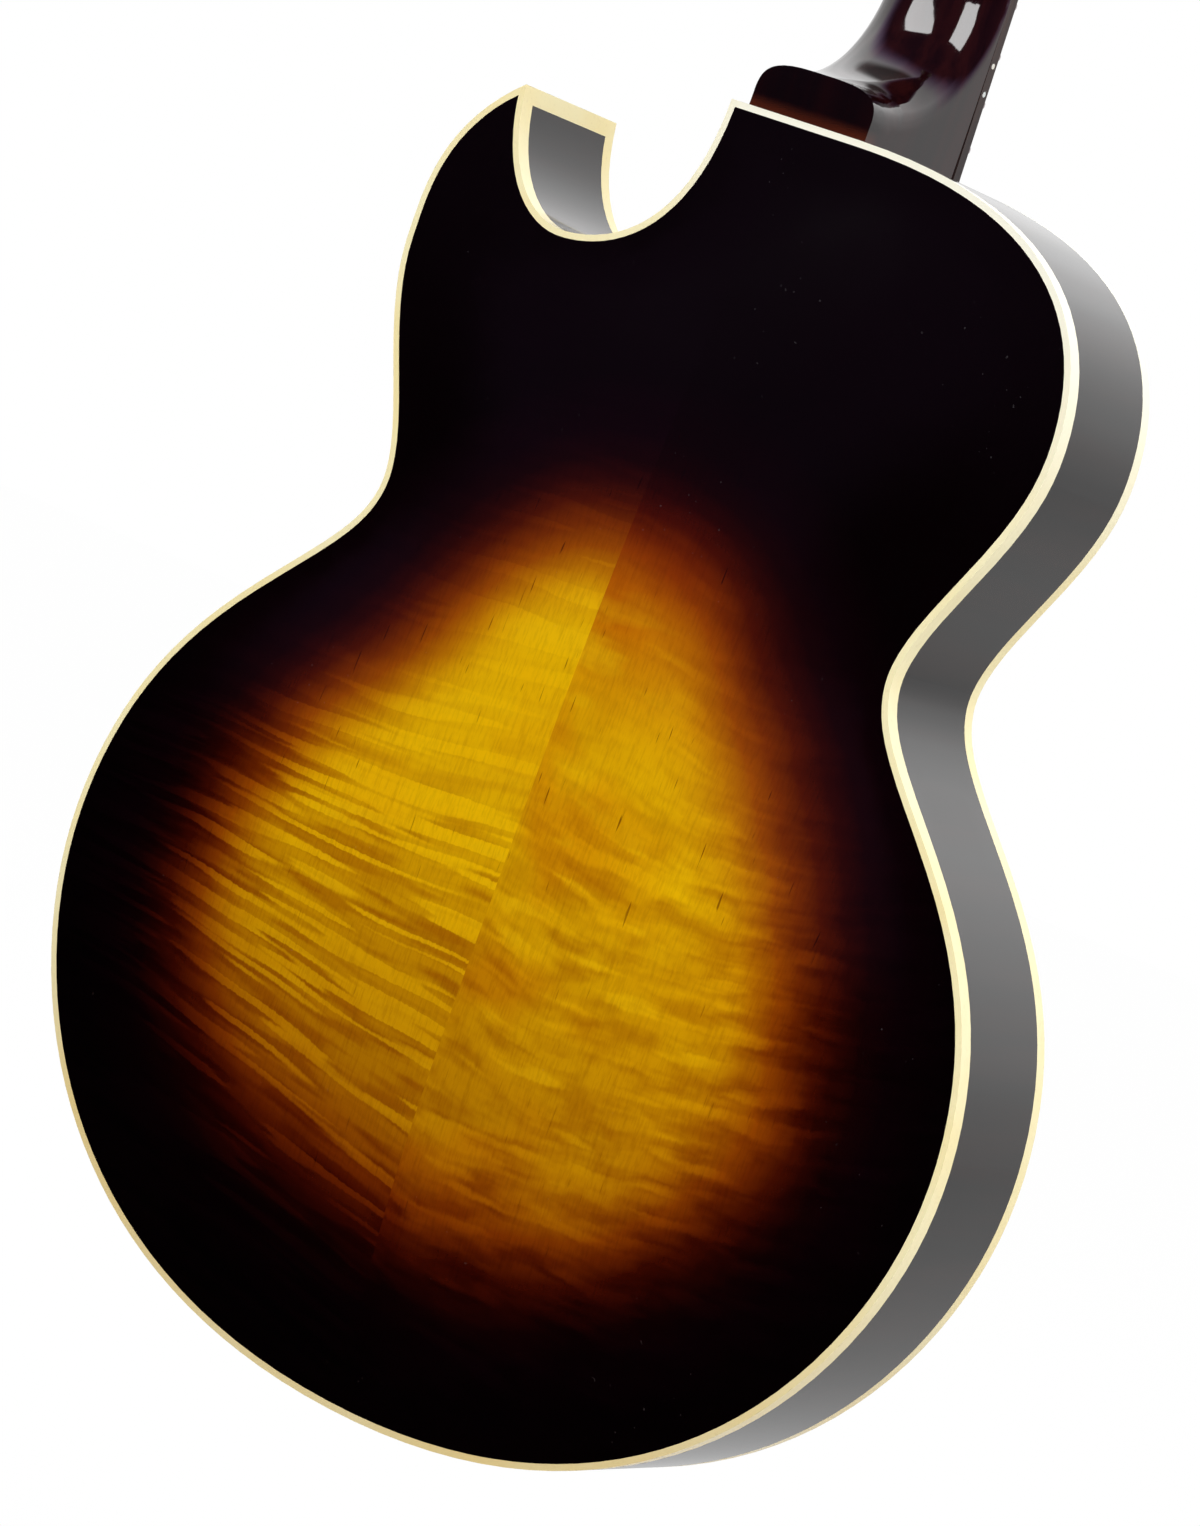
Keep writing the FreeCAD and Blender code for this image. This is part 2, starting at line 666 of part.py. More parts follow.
def gear(teeth, outer, root, thick):
    points = []
    for k in range(teeth):
        for part, radius in ((0.0, root), (0.2, outer), (0.5, outer), (0.7, root)):
            angle = 2 * math.pi * (k + part) / teeth
            points.append((radius * math.cos(angle), radius * math.sin(angle)))
    return slab(points, 0, thick)


def superellipse(half_x, half_y, power, z0, z1):
    points = []
    count = 28
    for k in range(count):
        angle = 2 * math.pi * k / count
        c, s = math.cos(angle), math.sin(angle)
        points.append(V(half_x * math.copysign(abs(c) ** (2 / power), c),
                        half_y * math.copysign(abs(s) ** (2 / power), s), z0))
    curve = Part.BSplineCurve()
    curve.interpolate(Points=points, PeriodicFlag=True)
    return Part.Face(Part.Wire(curve.toShape())).extrude(V(0, 0, z1 - z0))


head_holes = []
housings = []
for number, line in enumerate(strings):
    side = -1 if number < 3 else 1
    step = number if number < 3 else 5 - number
    y = TUNER_FIRST + TUNER_STEP * step
    edge = head_half(y)
    x = side * (edge - TUNER_INSET)
    line.post = V(x, y, 0)
    line.side = side
    wy = y + worm_off
    sleeve = POST_RADIUS + 1.9
    head_holes.append(rod(sleeve, V(x, y, -HEAD_THICK - 1), V(x, y, 1)))
    room = fused([
        Part.makeCylinder(GEAR_RADIUS + 0.6, GEAR_THICK + 0.8, V(x, y, gear_h - GEAR_THICK / 2 - 0.4)),
        rod(WORM_RADIUS + 0.4, V(x - WORM_LENGTH / 2 - 0.4, wy, gear_h),
            V(x + WORM_LENGTH / 2 + 0.4, wy, gear_h)),
        rod(BUTTON_SHAFT + RUN_CLEAR, V(x, wy, gear_h), V(x + side * 2 * HOUSING_HALF, wy, gear_h)),
        rod(POST_RADIUS + RUN_CLEAR, V(x, y, gear_h), V(x, y, 1)),
        rod(2 + RUN_CLEAR, V(x, y, housing_low + 1.5), V(x, y, gear_h)),
    ])
    shell = rounded_slab(x - HOUSING_HALF, x + HOUSING_HALF, y - GEAR_RADIUS - 2.2,
                         wy + WORM_RADIUS + 2.2, housing_low, -HEAD_THICK, 3.0)
    lug = box(x - 3.5, x + 3.5, y - GEAR_RADIUS - 8.2, y - GEAR_RADIUS - 2.2, -HEAD_THICK - 1.8, -HEAD_THICK)
    shell = fused([shell, lug]).cut(room)
    bushing = rod(sleeve - 0.02, V(x, y, -7), V(x, y, 0))
    hexagon = [(x + 6.6 * math.cos(math.pi * k / 3), y + 6.6 * math.sin(math.pi * k / 3)) for k in range(6)]
    bushing = fused([bushing, Part.makeCylinder(7.2, 0.6, V(x, y, 0)), slab(hexagon, 0.6, 2.6)])
    bushing = bushing.cut(rod(POST_RADIUS + RUN_CLEAR, V(x, y, -20), V(x, y, 10)))
    housings += [placed(shell, HEAD), placed(bushing, HEAD)]
    post_profile = [V(0, 0, housing_low + 1.8), V(1.98, 0, housing_low + 1.8), V(1.98, 0, gear_h),
                    V(POST_RADIUS, 0, gear_h), V(POST_RADIUS, 0, POST_TOP - 1.2), V(POST_RADIUS - 0.5, 0,
                                                                                    POST_TOP),
                    V(0, 0, POST_TOP)]
    post = Part.Face(polygon(post_profile)).revolve(V(0, 0, 0), V(0, 0, 1), 360)
    post = fused([post, placed(gear(GEAR_TEETH, GEAR_RADIUS, GEAR_RADIUS - 0.9, GEAR_THICK),
                               Placement(V(0, 0, gear_h - GEAR_THICK / 2), Rotation()))])
    post.translate(V(x, y, 0))
    add("tuner_post_%d" % (number + 1), placed(post, HEAD))
    axis("tuner_post_%d" % (number + 1), HEAD, V(x, y, 0), V(0, 0, 1))
    start = x - side * WORM_LENGTH / 2
    key = superellipse(BUTTON_WIDTH / 2, BUTTON_LENGTH / 2, 2.5, -BUTTON_THICK / 2, BUTTON_THICK / 2)
    key = key.makeFillet(2.6, key.Edges)
    key.translate(V(side * (edge + BUTTON_GAP + BUTTON_WIDTH / 2), wy, gear_h))
    inner_x = side * (edge + BUTTON_GAP + 2)
    button = fused([rod(WORM_RADIUS, V(start, wy, gear_h), V(x + side * WORM_LENGTH / 2, wy, gear_h)),
                    rod(BUTTON_SHAFT, V(x, wy, gear_h), V(inner_x, wy, gear_h)),
                    rod(3.2, V(side * (edge + BUTTON_GAP - 2), wy, gear_h), V(inner_x, wy, gear_h)), key])
    add("tuner_button_%d" % (number + 1), placed(button, HEAD))
    axis("tuner_button_%d" % (number + 1), HEAD, V(x, wy, gear_h), V(side, 0, 0))

head_hole_tool = placed(Part.makeCompound(head_holes), HEAD)

# Bridge
bridge_top = top_frame(0, BRIDGE_Y).Base.z + BRIDGE_BASE_HEIGHT
wheel_low = bridge_top + WHEEL_GAP
saddle_low = wheel_low + WHEEL_THICK + GROOVE_CLEAR
saddle_mid = NECK.multVec(V(0, BRIDGE_S, SADDLE_ACTION)).z + 0.5
end_top = bridge_top - BRIDGE_END_DROP
profile = [V(-BRIDGE_HALF, 0, 0), V(BRIDGE_HALF, 0, 0), V(BRIDGE_HALF, 0, end_top),
           V(BRIDGE_HALF - 24, 0, bridge_top), V(24 - BRIDGE_HALF, 0, bridge_top),
           V(-BRIDGE_HALF, 0, end_top)]
base_solid = Part.Face(polygon(profile)).extrude(V(0, 2 * BRIDGE_WIDTH, 0))
base_solid.translate(V(0, BRIDGE_Y - BRIDGE_WIDTH, 0))
base_plan = superellipse(BRIDGE_HALF - 0.5, BRIDGE_WIDTH / 2, 3.2, 1, 2 * deep)
base_plan.translate(V(0, BRIDGE_Y, 0))
base_solid = base_solid.common(base_plan).cut(under_top)
post_x = POST_SPACING / 2
bridge_posts = []
wheels = []
for side in (-1, 1):
    x = side * post_x
    base_solid = base_solid.cut(rod(BRIDGE_POST + 0.02, V(x, BRIDGE_Y, bridge_top - 5),
                                    V(x, BRIDGE_Y, bridge_top + 5)))
    bridge_posts.append(rod(BRIDGE_POST, V(x, BRIDGE_Y, bridge_top - 5),
                            V(x, BRIDGE_Y, saddle_low + POST_IN_SADDLE)))
    wheel = gear(30, WHEEL_RADIUS, WHEEL_RADIUS - 0.5, WHEEL_THICK)
    wheel = wheel.cut(Part.makeCylinder(BRIDGE_POST + RUN_CLEAR, 20, V(0, 0, -5)))
    wheel.translate(V(x, BRIDGE_Y, wheel_low))
    wheels.append(wheel)
    axis("thumbwheel %d" % side, Placement(), V(x, BRIDGE_Y, wheel_low), V(0, 0, 1))
saddle_block = box(-SADDLE_HALF, SADDLE_HALF, -SADDLE_WIDTH / 2, SADDLE_WIDTH / 2, saddle_low,
                   saddle_low + 30)
saddle_round = Part.makeCylinder(BOARD_RADIUS, 60, V(0, -30, saddle_mid - BOARD_RADIUS), V(0, 1, 0))
saddle_side = [V(0, -SADDLE_WIDTH / 2, saddle_low - 1), V(0, SADDLE_WIDTH / 2, saddle_low - 1),
               V(0, SADDLE_WIDTH / 2, saddle_low + 3), V(0, SADDLE_TOP_WIDTH / 2, saddle_mid + 1),
               V(0, -SADDLE_TOP_WIDTH / 2, saddle_mid + 1), V(0, -SADDLE_WIDTH / 2, saddle_low + 3)]
saddle_prism = Part.Face(polygon(saddle_side)).extrude(V(4 * SADDLE_HALF, 0, 0))
saddle_prism.translate(V(-2 * SADDLE_HALF, 0, 0))
saddle = saddle_block.common(saddle_round).common(saddle_prism)
saddle.translate(V(0, BRIDGE_Y, 0))
for side in (-1, 1):
    x = side * post_x
    saddle = saddle.cut(rod(BRIDGE_POST + GROOVE_CLEAR, V(x, BRIDGE_Y, saddle_low - 2),
                            V(x, BRIDGE_Y, saddle_low + POST_IN_SADDLE + SADDLE_HOLE_SPARE)))
axis("bridge_saddle", Placement(), V(0, BRIDGE_Y, saddle_low), V(0, 0, 1))

# Tailpiece
bar_z = HALF + TAIL_RISE
bar_y = TAIL_REACH
sheet_gap = 1.0
outer_low = -sheet_gap - TAIL_SHEET
bend_z = HALF + sheet_gap + TAIL_SHEET
tail_profile = [V(0, 0, -TAIL_DROP), V(0, -TAIL_SHEET, -TAIL_DROP), V(0, -TAIL_SHEET, HALF - 9),
                V(0, outer_low, HALF - 5), V(0, outer_low, bend_z), V(0, 2, bend_z + 2),
                V(0, bar_y, bar_z), V(0, bar_y, bar_z - TAIL_SHEET), V(0, 2, bend_z + 2 - TAIL_SHEET),
                V(0, -sheet_gap, bend_z - TAIL_SHEET * 0.4), V(0, -sheet_gap, HALF - 5), V(0, 0, HALF - 9)]
sheet = Part.Face(polygon(tail_profile)).extrude(V(2 * BAR_HALF, 0, 0))
sheet.translate(V(-BAR_HALF, 0, 0))
tail_plan = slab([(-TAIL_HALF, -10), (TAIL_HALF, -10), (TAIL_HALF, 12), (BAR_HALF - 6, bar_y - 4),
                  (BAR_HALF - 6, bar_y + 9), (6 - BAR_HALF, bar_y + 9), (6 - BAR_HALF,
                                                                         bar_y - 4), (-TAIL_HALF, 12)],
                 -deep, 2 * deep)
window_top = bar_y - BAR_LENGTH / 2
window = slab([(-TAIL_HALF + 7, 22), (TAIL_HALF - 7, 22), (BAR_HALF - 13, window_top - 6),
               (BAR_HALF - 13, window_top),
               (13 - BAR_HALF, window_top), (13 - BAR_HALF, window_top - 6)], HALF, 2 * deep)
sheet = sheet.common(tail_plan).cut(window)
bar_low = bar_z - BAR_HEIGHT * 0.6
cross_bar = box(-BAR_HALF, BAR_HALF, bar_y - BAR_LENGTH / 2, bar_y + BAR_LENGTH / 2, bar_low,
                bar_low + BAR_HEIGHT)
long_edges = [e for e in cross_bar.Edges if abs(e.tangentAt(e.FirstParameter).x) > 0.9]
cross_bar = cross_bar.makeFillet(2.2, long_edges)
tailpiece = fused([sheet, cross_bar])
pin_hole = rod(2.6, V(0, 5, 0), V(0, -9, 0))
tailpiece = tailpiece.cut(pin_hole)
hole_z = bar_low + BAR_HEIGHT * 0.5
string_holes = []
for line in strings:
    line.tail = V(line.place * SADDLE_SPACING, bar_y - BAR_LENGTH / 2 - 1.5, hole_z)
    string_holes.append(rod(line.radius + GROOVE_CLEAR, line.tail.add(V(0, -4, 0)),
                            line.tail.add(V(0, BAR_LENGTH + 8, 0))))
    line.exit = V(line.place * SADDLE_SPACING, bar_y + BAR_LENGTH / 2, hole_z)
tailpiece = tailpiece.cut(Part.makeCompound(string_holes))

pin_profile = [V(0, 0, TAIL_SHEET), V(PIN_RADIUS - 1, 0, TAIL_SHEET), V(PIN_WAIST, 0, TAIL_SHEET + 1.4),
               V(PIN_WAIST, 0, PIN_LENGTH - 2.2), V(PIN_RADIUS, 0, PIN_LENGTH - 1.4),
               V(PIN_RADIUS - 0.8, 0, PIN_LENGTH), V(0, 0, PIN_LENGTH)]
end_pin = Part.Face(polygon(pin_profile)).revolve(V(0, 0, 0), V(0, 0, 1), 360)
pin_place = Placement(V(0, 0, 0), Rotation(V(0, 0, 1), V(0, -1, 0)))
end_pin = placed(end_pin, pin_place)

# String runs
string_solids = []
groove_tools = []
for line in strings:
    radius = line.radius
    nut_at = NECK.multVec(line.nut)
    wind = POST_RADIUS + GROOVE_CLEAR + radius
    nut_flat = HEAD.inverse().multVec(nut_at)
    dx = line.post.x - nut_flat.x
    dy = line.post.y - nut_flat.y
    reach = math.hypot(dx, dy)
    turn = math.atan2(dy, dx) + line.side * math.asin(wind / reach)
    run = math.sqrt(reach ** 2 - wind ** 2)
    touch = V(nut_flat.x + run * math.cos(turn), nut_flat.y + run * math.sin(turn), winding_low + radius)
    touch_at = HEAD.multVec(touch)
    string_solids.append(fused([
        rod(radius, line.tail, line.exit),
        Part.makeSphere(radius, line.exit),
        rod(radius, line.exit, line.saddle_at),
        Part.makeSphere(radius, line.saddle_at),
        rod(radius, line.saddle_at, nut_at),
        Part.makeSphere(radius, nut_at),
        rod(radius, nut_at, touch_at),
        placed(Part.makeCylinder(wind + radius, 7 * radius, V(line.post.x, line.post.y, winding_low)).cut(
            Part.makeCylinder(wind - radius, 20, V(line.post.x, line.post.y, 0))), HEAD),
        Part.makeCylinder(1.9, 3.4, line.tail.add(V(-1.7, -1.2, 0)), V(1, 0, 0)),
    ]))
    nut_back = line.saddle_at.sub(nut_at)
    nut_back.normalize()
    head_way = touch_at.sub(nut_at)
    head_way.normalize()
    groove = radius + 0.05
    groove_tools.append(fused([rod(groove, nut_at, nut_at.add(V(nut_back.x * 8, nut_back.y * 8,
                                                                nut_back.z * 8))),
                               Part.makeSphere(groove, nut_at),
                               rod(groove, nut_at, nut_at.add(V(head_way.x * 8, head_way.y * 8,
                                                                head_way.z * 8)))]))
    wide_groove = radius + GROOVE_CLEAR
    tail_way = line.exit.sub(line.saddle_at)
    tail_way.normalize()
    crest = line.saddle_at
    for way in (nut_back.negative(), tail_way):
        start = crest.sub(way * (SADDLE_TOP_WIDTH / 4))
        saddle = saddle.cut(rod(wide_groove, start, crest.add(way * SADDLE_WIDTH)))
nut_body = placed(nut, NECK).cut(Part.makeCompound(groove_tools))


# Pickups and rings, in the neck frame
def slot_head(radius, height, z):
    head = Part.makeCylinder(radius, height, V(0, 0, z))
    return head.cut(box(-radius, radius, -0.4, 0.4, z + height * 0.5, z + height + 1))


screw_solids = []
screw_holes = []


def wood_screw(place, head_radius, head_height, shaft, length):
    body = fused([slot_head(head_radius, head_height, 0),
                  Part.makeCylinder(shaft, length + 0.2, V(0, 0, -length))])
    screw_solids.append(placed(body, place))
    screw_holes.append(placed(Part.makeCylinder(shaft + 0.02, length + 0.3, V(0, 0, -length - 0.1)), place))


top_cuts = []
ring_solids = []
pickup_names = {"neck": BOARD_END_S - RING_WIDTH / 2 - 1.5, "bridge": BRIDGE_S + BRIDGE_PICKUP_Y}
for name, s in pickup_names.items():
    top_h = PICKUP_BELOW
    ring_h = top_h - RING_DROP
    half_x = PICKUP_LENGTH / 2
    half_y = PICKUP_WIDTH / 2
    low_h = top_h - PICKUP_DEPTH
    place = NECK.multiply(Placement(V(0, s, 0), Rotation()))
    cover = rounded_slab(-half_x, half_x, -half_y, half_y, low_h, top_h, 4.0)
    lid = [e for e in cover.Edges if abs(e.CenterOfMass.z - top_h) < 0.01]
    cover = cover.makeFillet(0.9, lid)
    hollow = rounded_slab(COVER_WALL - half_x, half_x - COVER_WALL, COVER_WALL - half_y, half_y - COVER_WALL,
                          low_h - 1, top_h - COVER_WALL, 3.2)
    cover = cover.cut(hollow)
    pole_y = half_y * 0.5 * (1 if name == "neck" else -1)
    poles = []
    for line in strings:
        x = line.place * SADDLE_SPACING * 0.97
        poles.append(fused([slot_head(POLE_RADIUS, 1.2, top_h - 0.6),
                            Part.makeCylinder(1.5, PICKUP_DEPTH - 2, V(0, 0, low_h + 1.5))]))
        poles[-1].translate(V(x, pole_y, 0))
        cover = cover.cut(Part.makeCylinder(POLE_RADIUS + 0.02, 20, V(x, pole_y, top_h - 3)))
    inner_x = half_x - COVER_WALL - 0.4
    inner_y = half_y - COVER_WALL - 0.4
    plate = rounded_slab(-inner_x, inner_x, -inner_y, inner_y, low_h, low_h + 1.5, 3.0)
    bobbins = []
    for k in (-1, 1):
        near, far = sorted((k * 0.6, k * inner_y))
        bobbin = box(-inner_x, inner_x, near, far, low_h + 4.6, top_h - COVER_WALL)
        if (pole_y > 0) == (k > 0):
            for pole in poles:
                bobbin = bobbin.cut(Part.makeCylinder(POLE_RADIUS + 0.02, 30,
                                                      V(pole.CenterOfMass.x, pole_y, low_h)))
        bobbins.append(bobbin)
    magnet = box(-30, 30, -3, 3, low_h + 1.5, low_h + 4.6)
    ears = []
    screw_x = half_x + RING_CLEAR + EAR_REACH / 2
    for k in (-1, 1):
        ear = box(-EAR_REACH / 2 - 2.5, EAR_REACH / 2, -EAR_HALF, EAR_HALF, low_h - 1.5, low_h)
        ear = placed(ear, Placement(V(k * screw_x, 0, 0), Rotation(V(0, 0, 1), 0 if k > 0 else 180)))
        ears.append(ear)
    strap = box(-half_x, half_x, -EAR_HALF, EAR_HALF, low_h - 1.5, low_h)
    base_bar = fused([strap] + ears)
    for k in (-1, 1):
        base_bar = base_bar.cut(Part.makeCylinder(1.25 + RUN_CLEAR, 30, V(k * screw_x, 0, low_h - 10)))
    for solid in [cover, plate, base_bar, magnet] + bobbins + poles:
        add(name + "_pickup", placed(solid, place))
    axis(name + "_pickup", place, V(0, 0, 0), V(0, 0, 1))

    frame_low = ring_h - 40
    ring_block = rounded_slab(-RING_LENGTH / 2, RING_LENGTH / 2, -RING_WIDTH / 2, RING_WIDTH / 2,
                              frame_low, ring_h, 4.0)
    crest = [e for e in ring_block.Edges if abs(e.CenterOfMass.z - ring_h) < 0.01]
    ring_block = ring_block.makeFillet(1.2, crest)
    well = rounded_slab(-half_x - RING_CLEAR, half_x + RING_CLEAR, -half_y - RING_CLEAR, half_y + RING_CLEAR,
                        frame_low - 1, ring_h + 1, 4.5)
    ear_room = box(-screw_x - EAR_REACH / 2 - RING_CLEAR, screw_x + EAR_REACH / 2 + RING_CLEAR,
                   -EAR_HALF - RING_CLEAR, EAR_HALF + RING_CLEAR, frame_low - 1, ring_h - RING_TOP)
    ring_block = ring_block.cut(well).cut(ear_room)
    for k in (-1, 1):
        ring_block = ring_block.cut(Part.makeCylinder(1.25 + RUN_CLEAR, 30, V(k * screw_x, 0, ring_h - 15)))
        screw = fused([slot_head(2.3, 1.6, ring_h + 0.02),
                       Part.makeCylinder(1.25, PICKUP_DEPTH + 3.1, V(0, 0, ring_h - PICKUP_DEPTH - 3))])
        screw.translate(V(k * screw_x, 0, 0))
        label = "%s_pickup_screw_%s" % (name, "bass" if k < 0 else "treble")
        add(label, placed(screw, place))
        axis(label, place, V(k * screw_x, 0, ring_h), V(0, 0, 1))
        for j in (-1, 1):
            corner = V(k * (RING_LENGTH / 2 - 4.0), j * (RING_WIDTH / 2 - 4.2), ring_h)
            wood_screw(place.multiply(Placement(corner, Rotation())), 1.9, 1.0, 1.0, RING_SCREW)
    ring_solids.append(placed(ring_block, place).cut(under_top))
    opening = fused([box(-half_x - RING_CLEAR, half_x + RING_CLEAR, -half_y - RING_CLEAR,
                         half_y + RING_CLEAR, -60, ring_h),
                     box(-screw_x - EAR_REACH / 2 - RING_CLEAR, screw_x + EAR_REACH / 2 + RING_CLEAR,
                         -EAR_HALF - RING_CLEAR, EAR_HALF + RING_CLEAR, -60, ring_h)])
    top_cuts.append(placed(opening, place))

# Sound holes
def sound_hole(side):
    spine = [(66, 297), (75, 303), (84, 292), (87, 262), (84, 231), (82, 200), (86, 172), (96, 161),
             (105, 167)]
    middle = Part.BSplineCurve()
    middle.interpolate(Points=[V(x, y - 231 + BRIDGE_Y, 0) for x, y in spine])
    left = []
    right = []
    count = 26
    first, last = middle.FirstParameter, middle.LastParameter
    for k in range(count + 1):
        part = k / count
        at = middle.value(first + (last - first) * part)
        way = middle.tangent(first + (last - first) * part)[0]
        half = 1.3 + 3.4 * math.sin(math.pi * part) ** 1.6
        left.append(V(at.x - way.y * half, at.y + way.x * half, 0))
        right.append(V(at.x + way.y * half, at.y - way.x * half, 0))
    edges = [spline(left), Part.makeLine(left[-1], right[-1]), spline(list(reversed(right))),
             Part.makeLine(right[0], left[0])]
    stem = Part.Face(Part.Wire(edges)).extrude(V(0, 0, 2 * deep))
    up_eye = Part.makeCylinder(5.0, 2 * deep, V(66, 292.5 - 231 + BRIDGE_Y, 0))
    low_eye = Part.makeCylinder(6.5, 2 * deep, V(106, 173.5 - 231 + BRIDGE_Y, 0))
    nick = box(77, 91, BRIDGE_Y - 1.2, BRIDGE_Y + 1.2, 0, 2 * deep)
    whole = stem.fuse([up_eye, low_eye, nick])
    if side < 0:
        whole = whole.mirror(V(0, 0, 0), V(1, 0, 0))
    return whole


top_cuts += [sound_hole(-1), sound_hole(1)]

# Controls: each stands on the arch
knob_spots = {
    "neck_volume_knob": (0.74, 0.348),
    "bridge_volume_knob": (0.53, 0.25),
    "neck_tone_knob": (0.817, 0.254),
    "bridge_tone_knob": (0.62, 0.164),
}
for name, (across, along) in knob_spots.items():
    place = top_frame(across * LOWER_BOUT / 2, along * BODY_LENGTH)
    can_top = -PLATE - 1.2
    can = Part.makeCylinder(POT_RADIUS, POT_HEIGHT, V(0, 0, can_top - POT_HEIGHT))
    neck_tube = Part.makeCylinder(BUSHING_RADIUS, -can_top + 3.4, V(0, 0, can_top))
    washer = Part.makeCylinder(7.0, 0.5, V(0, 0, 0.25))
    hexagon = [(6.0 * math.cos(math.pi * k / 3), 6.0 * math.sin(math.pi * k / 3)) for k in range(6)]
    legs = [box(k * 5 - 0.8, k * 5 + 0.8, POT_RADIUS - 1, POT_RADIUS + 6, can_top - 3,
                can_top - 2.2) for k in (-1, 0, 1)]
    pot = fused([can, neck_tube, washer, slab(hexagon, 0.75, 2.7)] + legs)
    pot = pot.cut(Part.makeCylinder(SHAFT_RADIUS + RUN_CLEAR, 30, V(0, 0, can_top - 3)))
    add("control_pots", placed(pot, place))
    top_cuts.append(placed(Part.makeCylinder(BUSHING_RADIUS + 0.1, 30, V(0, 0, -15)), place))
    shaft_rod = Part.makeCylinder(SHAFT_RADIUS, KNOB_HEIGHT - 3 - can_top + 2.6, V(0, 0, can_top - 2.6))
    bell_low = KNOB_GAP + KNOB_SKIRT
    bell = [V(KNOB_RADIUS, 0, bell_low), V(KNOB_RADIUS - 1.3, 0, bell_low + 1.8),
            V(KNOB_CROWN + 0.8, 0, bell_low + 5), V(KNOB_CROWN, 0, KNOB_HEIGHT - 1)]
    corners = [bell[-1], V(KNOB_CROWN - 0.9, 0, KNOB_HEIGHT), V(0, 0, KNOB_HEIGHT), V(0, 0, KNOB_GAP),
               V(KNOB_RADIUS, 0, KNOB_GAP), bell[0]]
    skirt = [spline(bell)] + [Part.makeLine(a, b) for a, b in zip(corners, corners[1:])]
    knob = Part.Face(Part.Wire(skirt)).revolve(V(0, 0, 0), V(0, 0, 1), 360)
    knob = knob.cut(Part.makeCylinder(8.2, 2.6 + KNOB_GAP, V(0, 0, 0)))
    knob = knob.cut(Part.makeCylinder(SHAFT_RADIUS + 0.02, KNOB_HEIGHT - 3, V(0, 0, 0)))
    pointer = box(2, KNOB_CROWN - 1.6, -0.5, 0.5, KNOB_HEIGHT - 0.5, KNOB_HEIGHT + 1)
    add(name, placed(knob.cut(pointer), place), placed(shaft_rod, place))
    axis(name, place, V(0, 0, 0), V(0, 0, 1))

switch_place = top_frame(-0.58 * UPPER_BOUT / 2, 0.842 * BODY_LENGTH)
barrel = Part.makeCylinder(SWITCH_RADIUS, 18, V(0, 0, -14.4))
barrel = fused([barrel, Part.makeCylinder(8.6, 2.4, V(0, 0, 0.3)), box(-6.5, 6.5, -13, 13, -30, -14)])
barrel = barrel.cut(Part.makeCylinder(SWITCH_BORE, 40, V(0, 0, -13)))
pin_low = V(0, -SWITCH_PIN_REACH, -SWITCH_PIVOT)
pin_high = V(0, SWITCH_PIN_REACH, -SWITCH_PIVOT)
pin_room = V(0, GROOVE_CLEAR, 0)
barrel = barrel.cut(rod(SWITCH_PIN_RADIUS + RUN_CLEAR, pin_low.sub(pin_room), pin_high.add(pin_room)))
add("switch_body", placed(barrel, switch_place))
top_cuts.append(placed(Part.makeCylinder(SWITCH_RADIUS + 0.1, 40, V(0, 0, -20)), switch_place))
cap_profile = [V(0, 0, 9), V(2.0, 0, 9), V(3.4, 0, 13), V(4.2, 0, 18), V(3.6, 0, 21.5), V(1.8, 0, 23.4),
               V(0, 0, 23.8)]
cap = Part.Face(polygon(cap_profile)).revolve(V(0, 0, 0), V(0, 0, 1), 360)
lever = fused([Part.makeSphere(SWITCH_BORE - RUN_CLEAR, V(0, 0, -SWITCH_PIVOT)),
               Part.makeCylinder(1.6, 17, V(0, 0, -7)), rod(SWITCH_PIN_RADIUS, pin_low, pin_high), cap])
add("switch_lever", placed(lever, switch_place))
axis("switch_lever", switch_place, V(0, 0, -SWITCH_PIVOT), V(0, 1, 0))

# Output jack in the treble rim
jack_y = 0.205 * BODY_LENGTH
rim_points = outline_points(0)[0]
jack_at = None
for a, b in zip(rim_points, rim_points[1:]):
    if a.y <= jack_y < b.y:
        way = b.sub(a)
        part = (jack_y - a.y) / (b.y - a.y)
        jack_at = V(a.x + part * way.x, jack_y, 0)
        jack_out = V(way.y, -way.x, 0)
        break
jack_out.normalize()
outer_edge = outline_wire(0)
near = outer_edge.distToShape(Part.Vertex(jack_at))[1][0][0]
jack_place = Placement(near, Rotation(V(0, 0, 1), jack_out))
jack_room = placed(Part.makeCylinder(JACK_RADIUS + 0.1, 12, V(0, 0, -8)), jack_place)
treble_side = treble_side.cut(jack_room)
jack_nut = [(6.6 * math.cos(math.pi * k / 3), 6.6 * math.sin(math.pi * k / 3)) for k in range(6)]
jack = fused([Part.makeCylinder(JACK_RADIUS, JACK_LENGTH + 4.5, V(0, 0, -JACK_LENGTH)),
              Part.makeCylinder(9.0, 1.0, V(0, 0, 0.1)), slab(jack_nut, 1.1, 3.4),
              Part.makeCylinder(8.0, 2.0, V(0, 0, -BINDING - 2.5))])
jack = jack.cut(Part.makeCylinder(JACK_BORE, 60, V(0, 0, -30)))
axis("output_jack", jack_place, V(0, 0, 4.5), V(0, 0, 1))

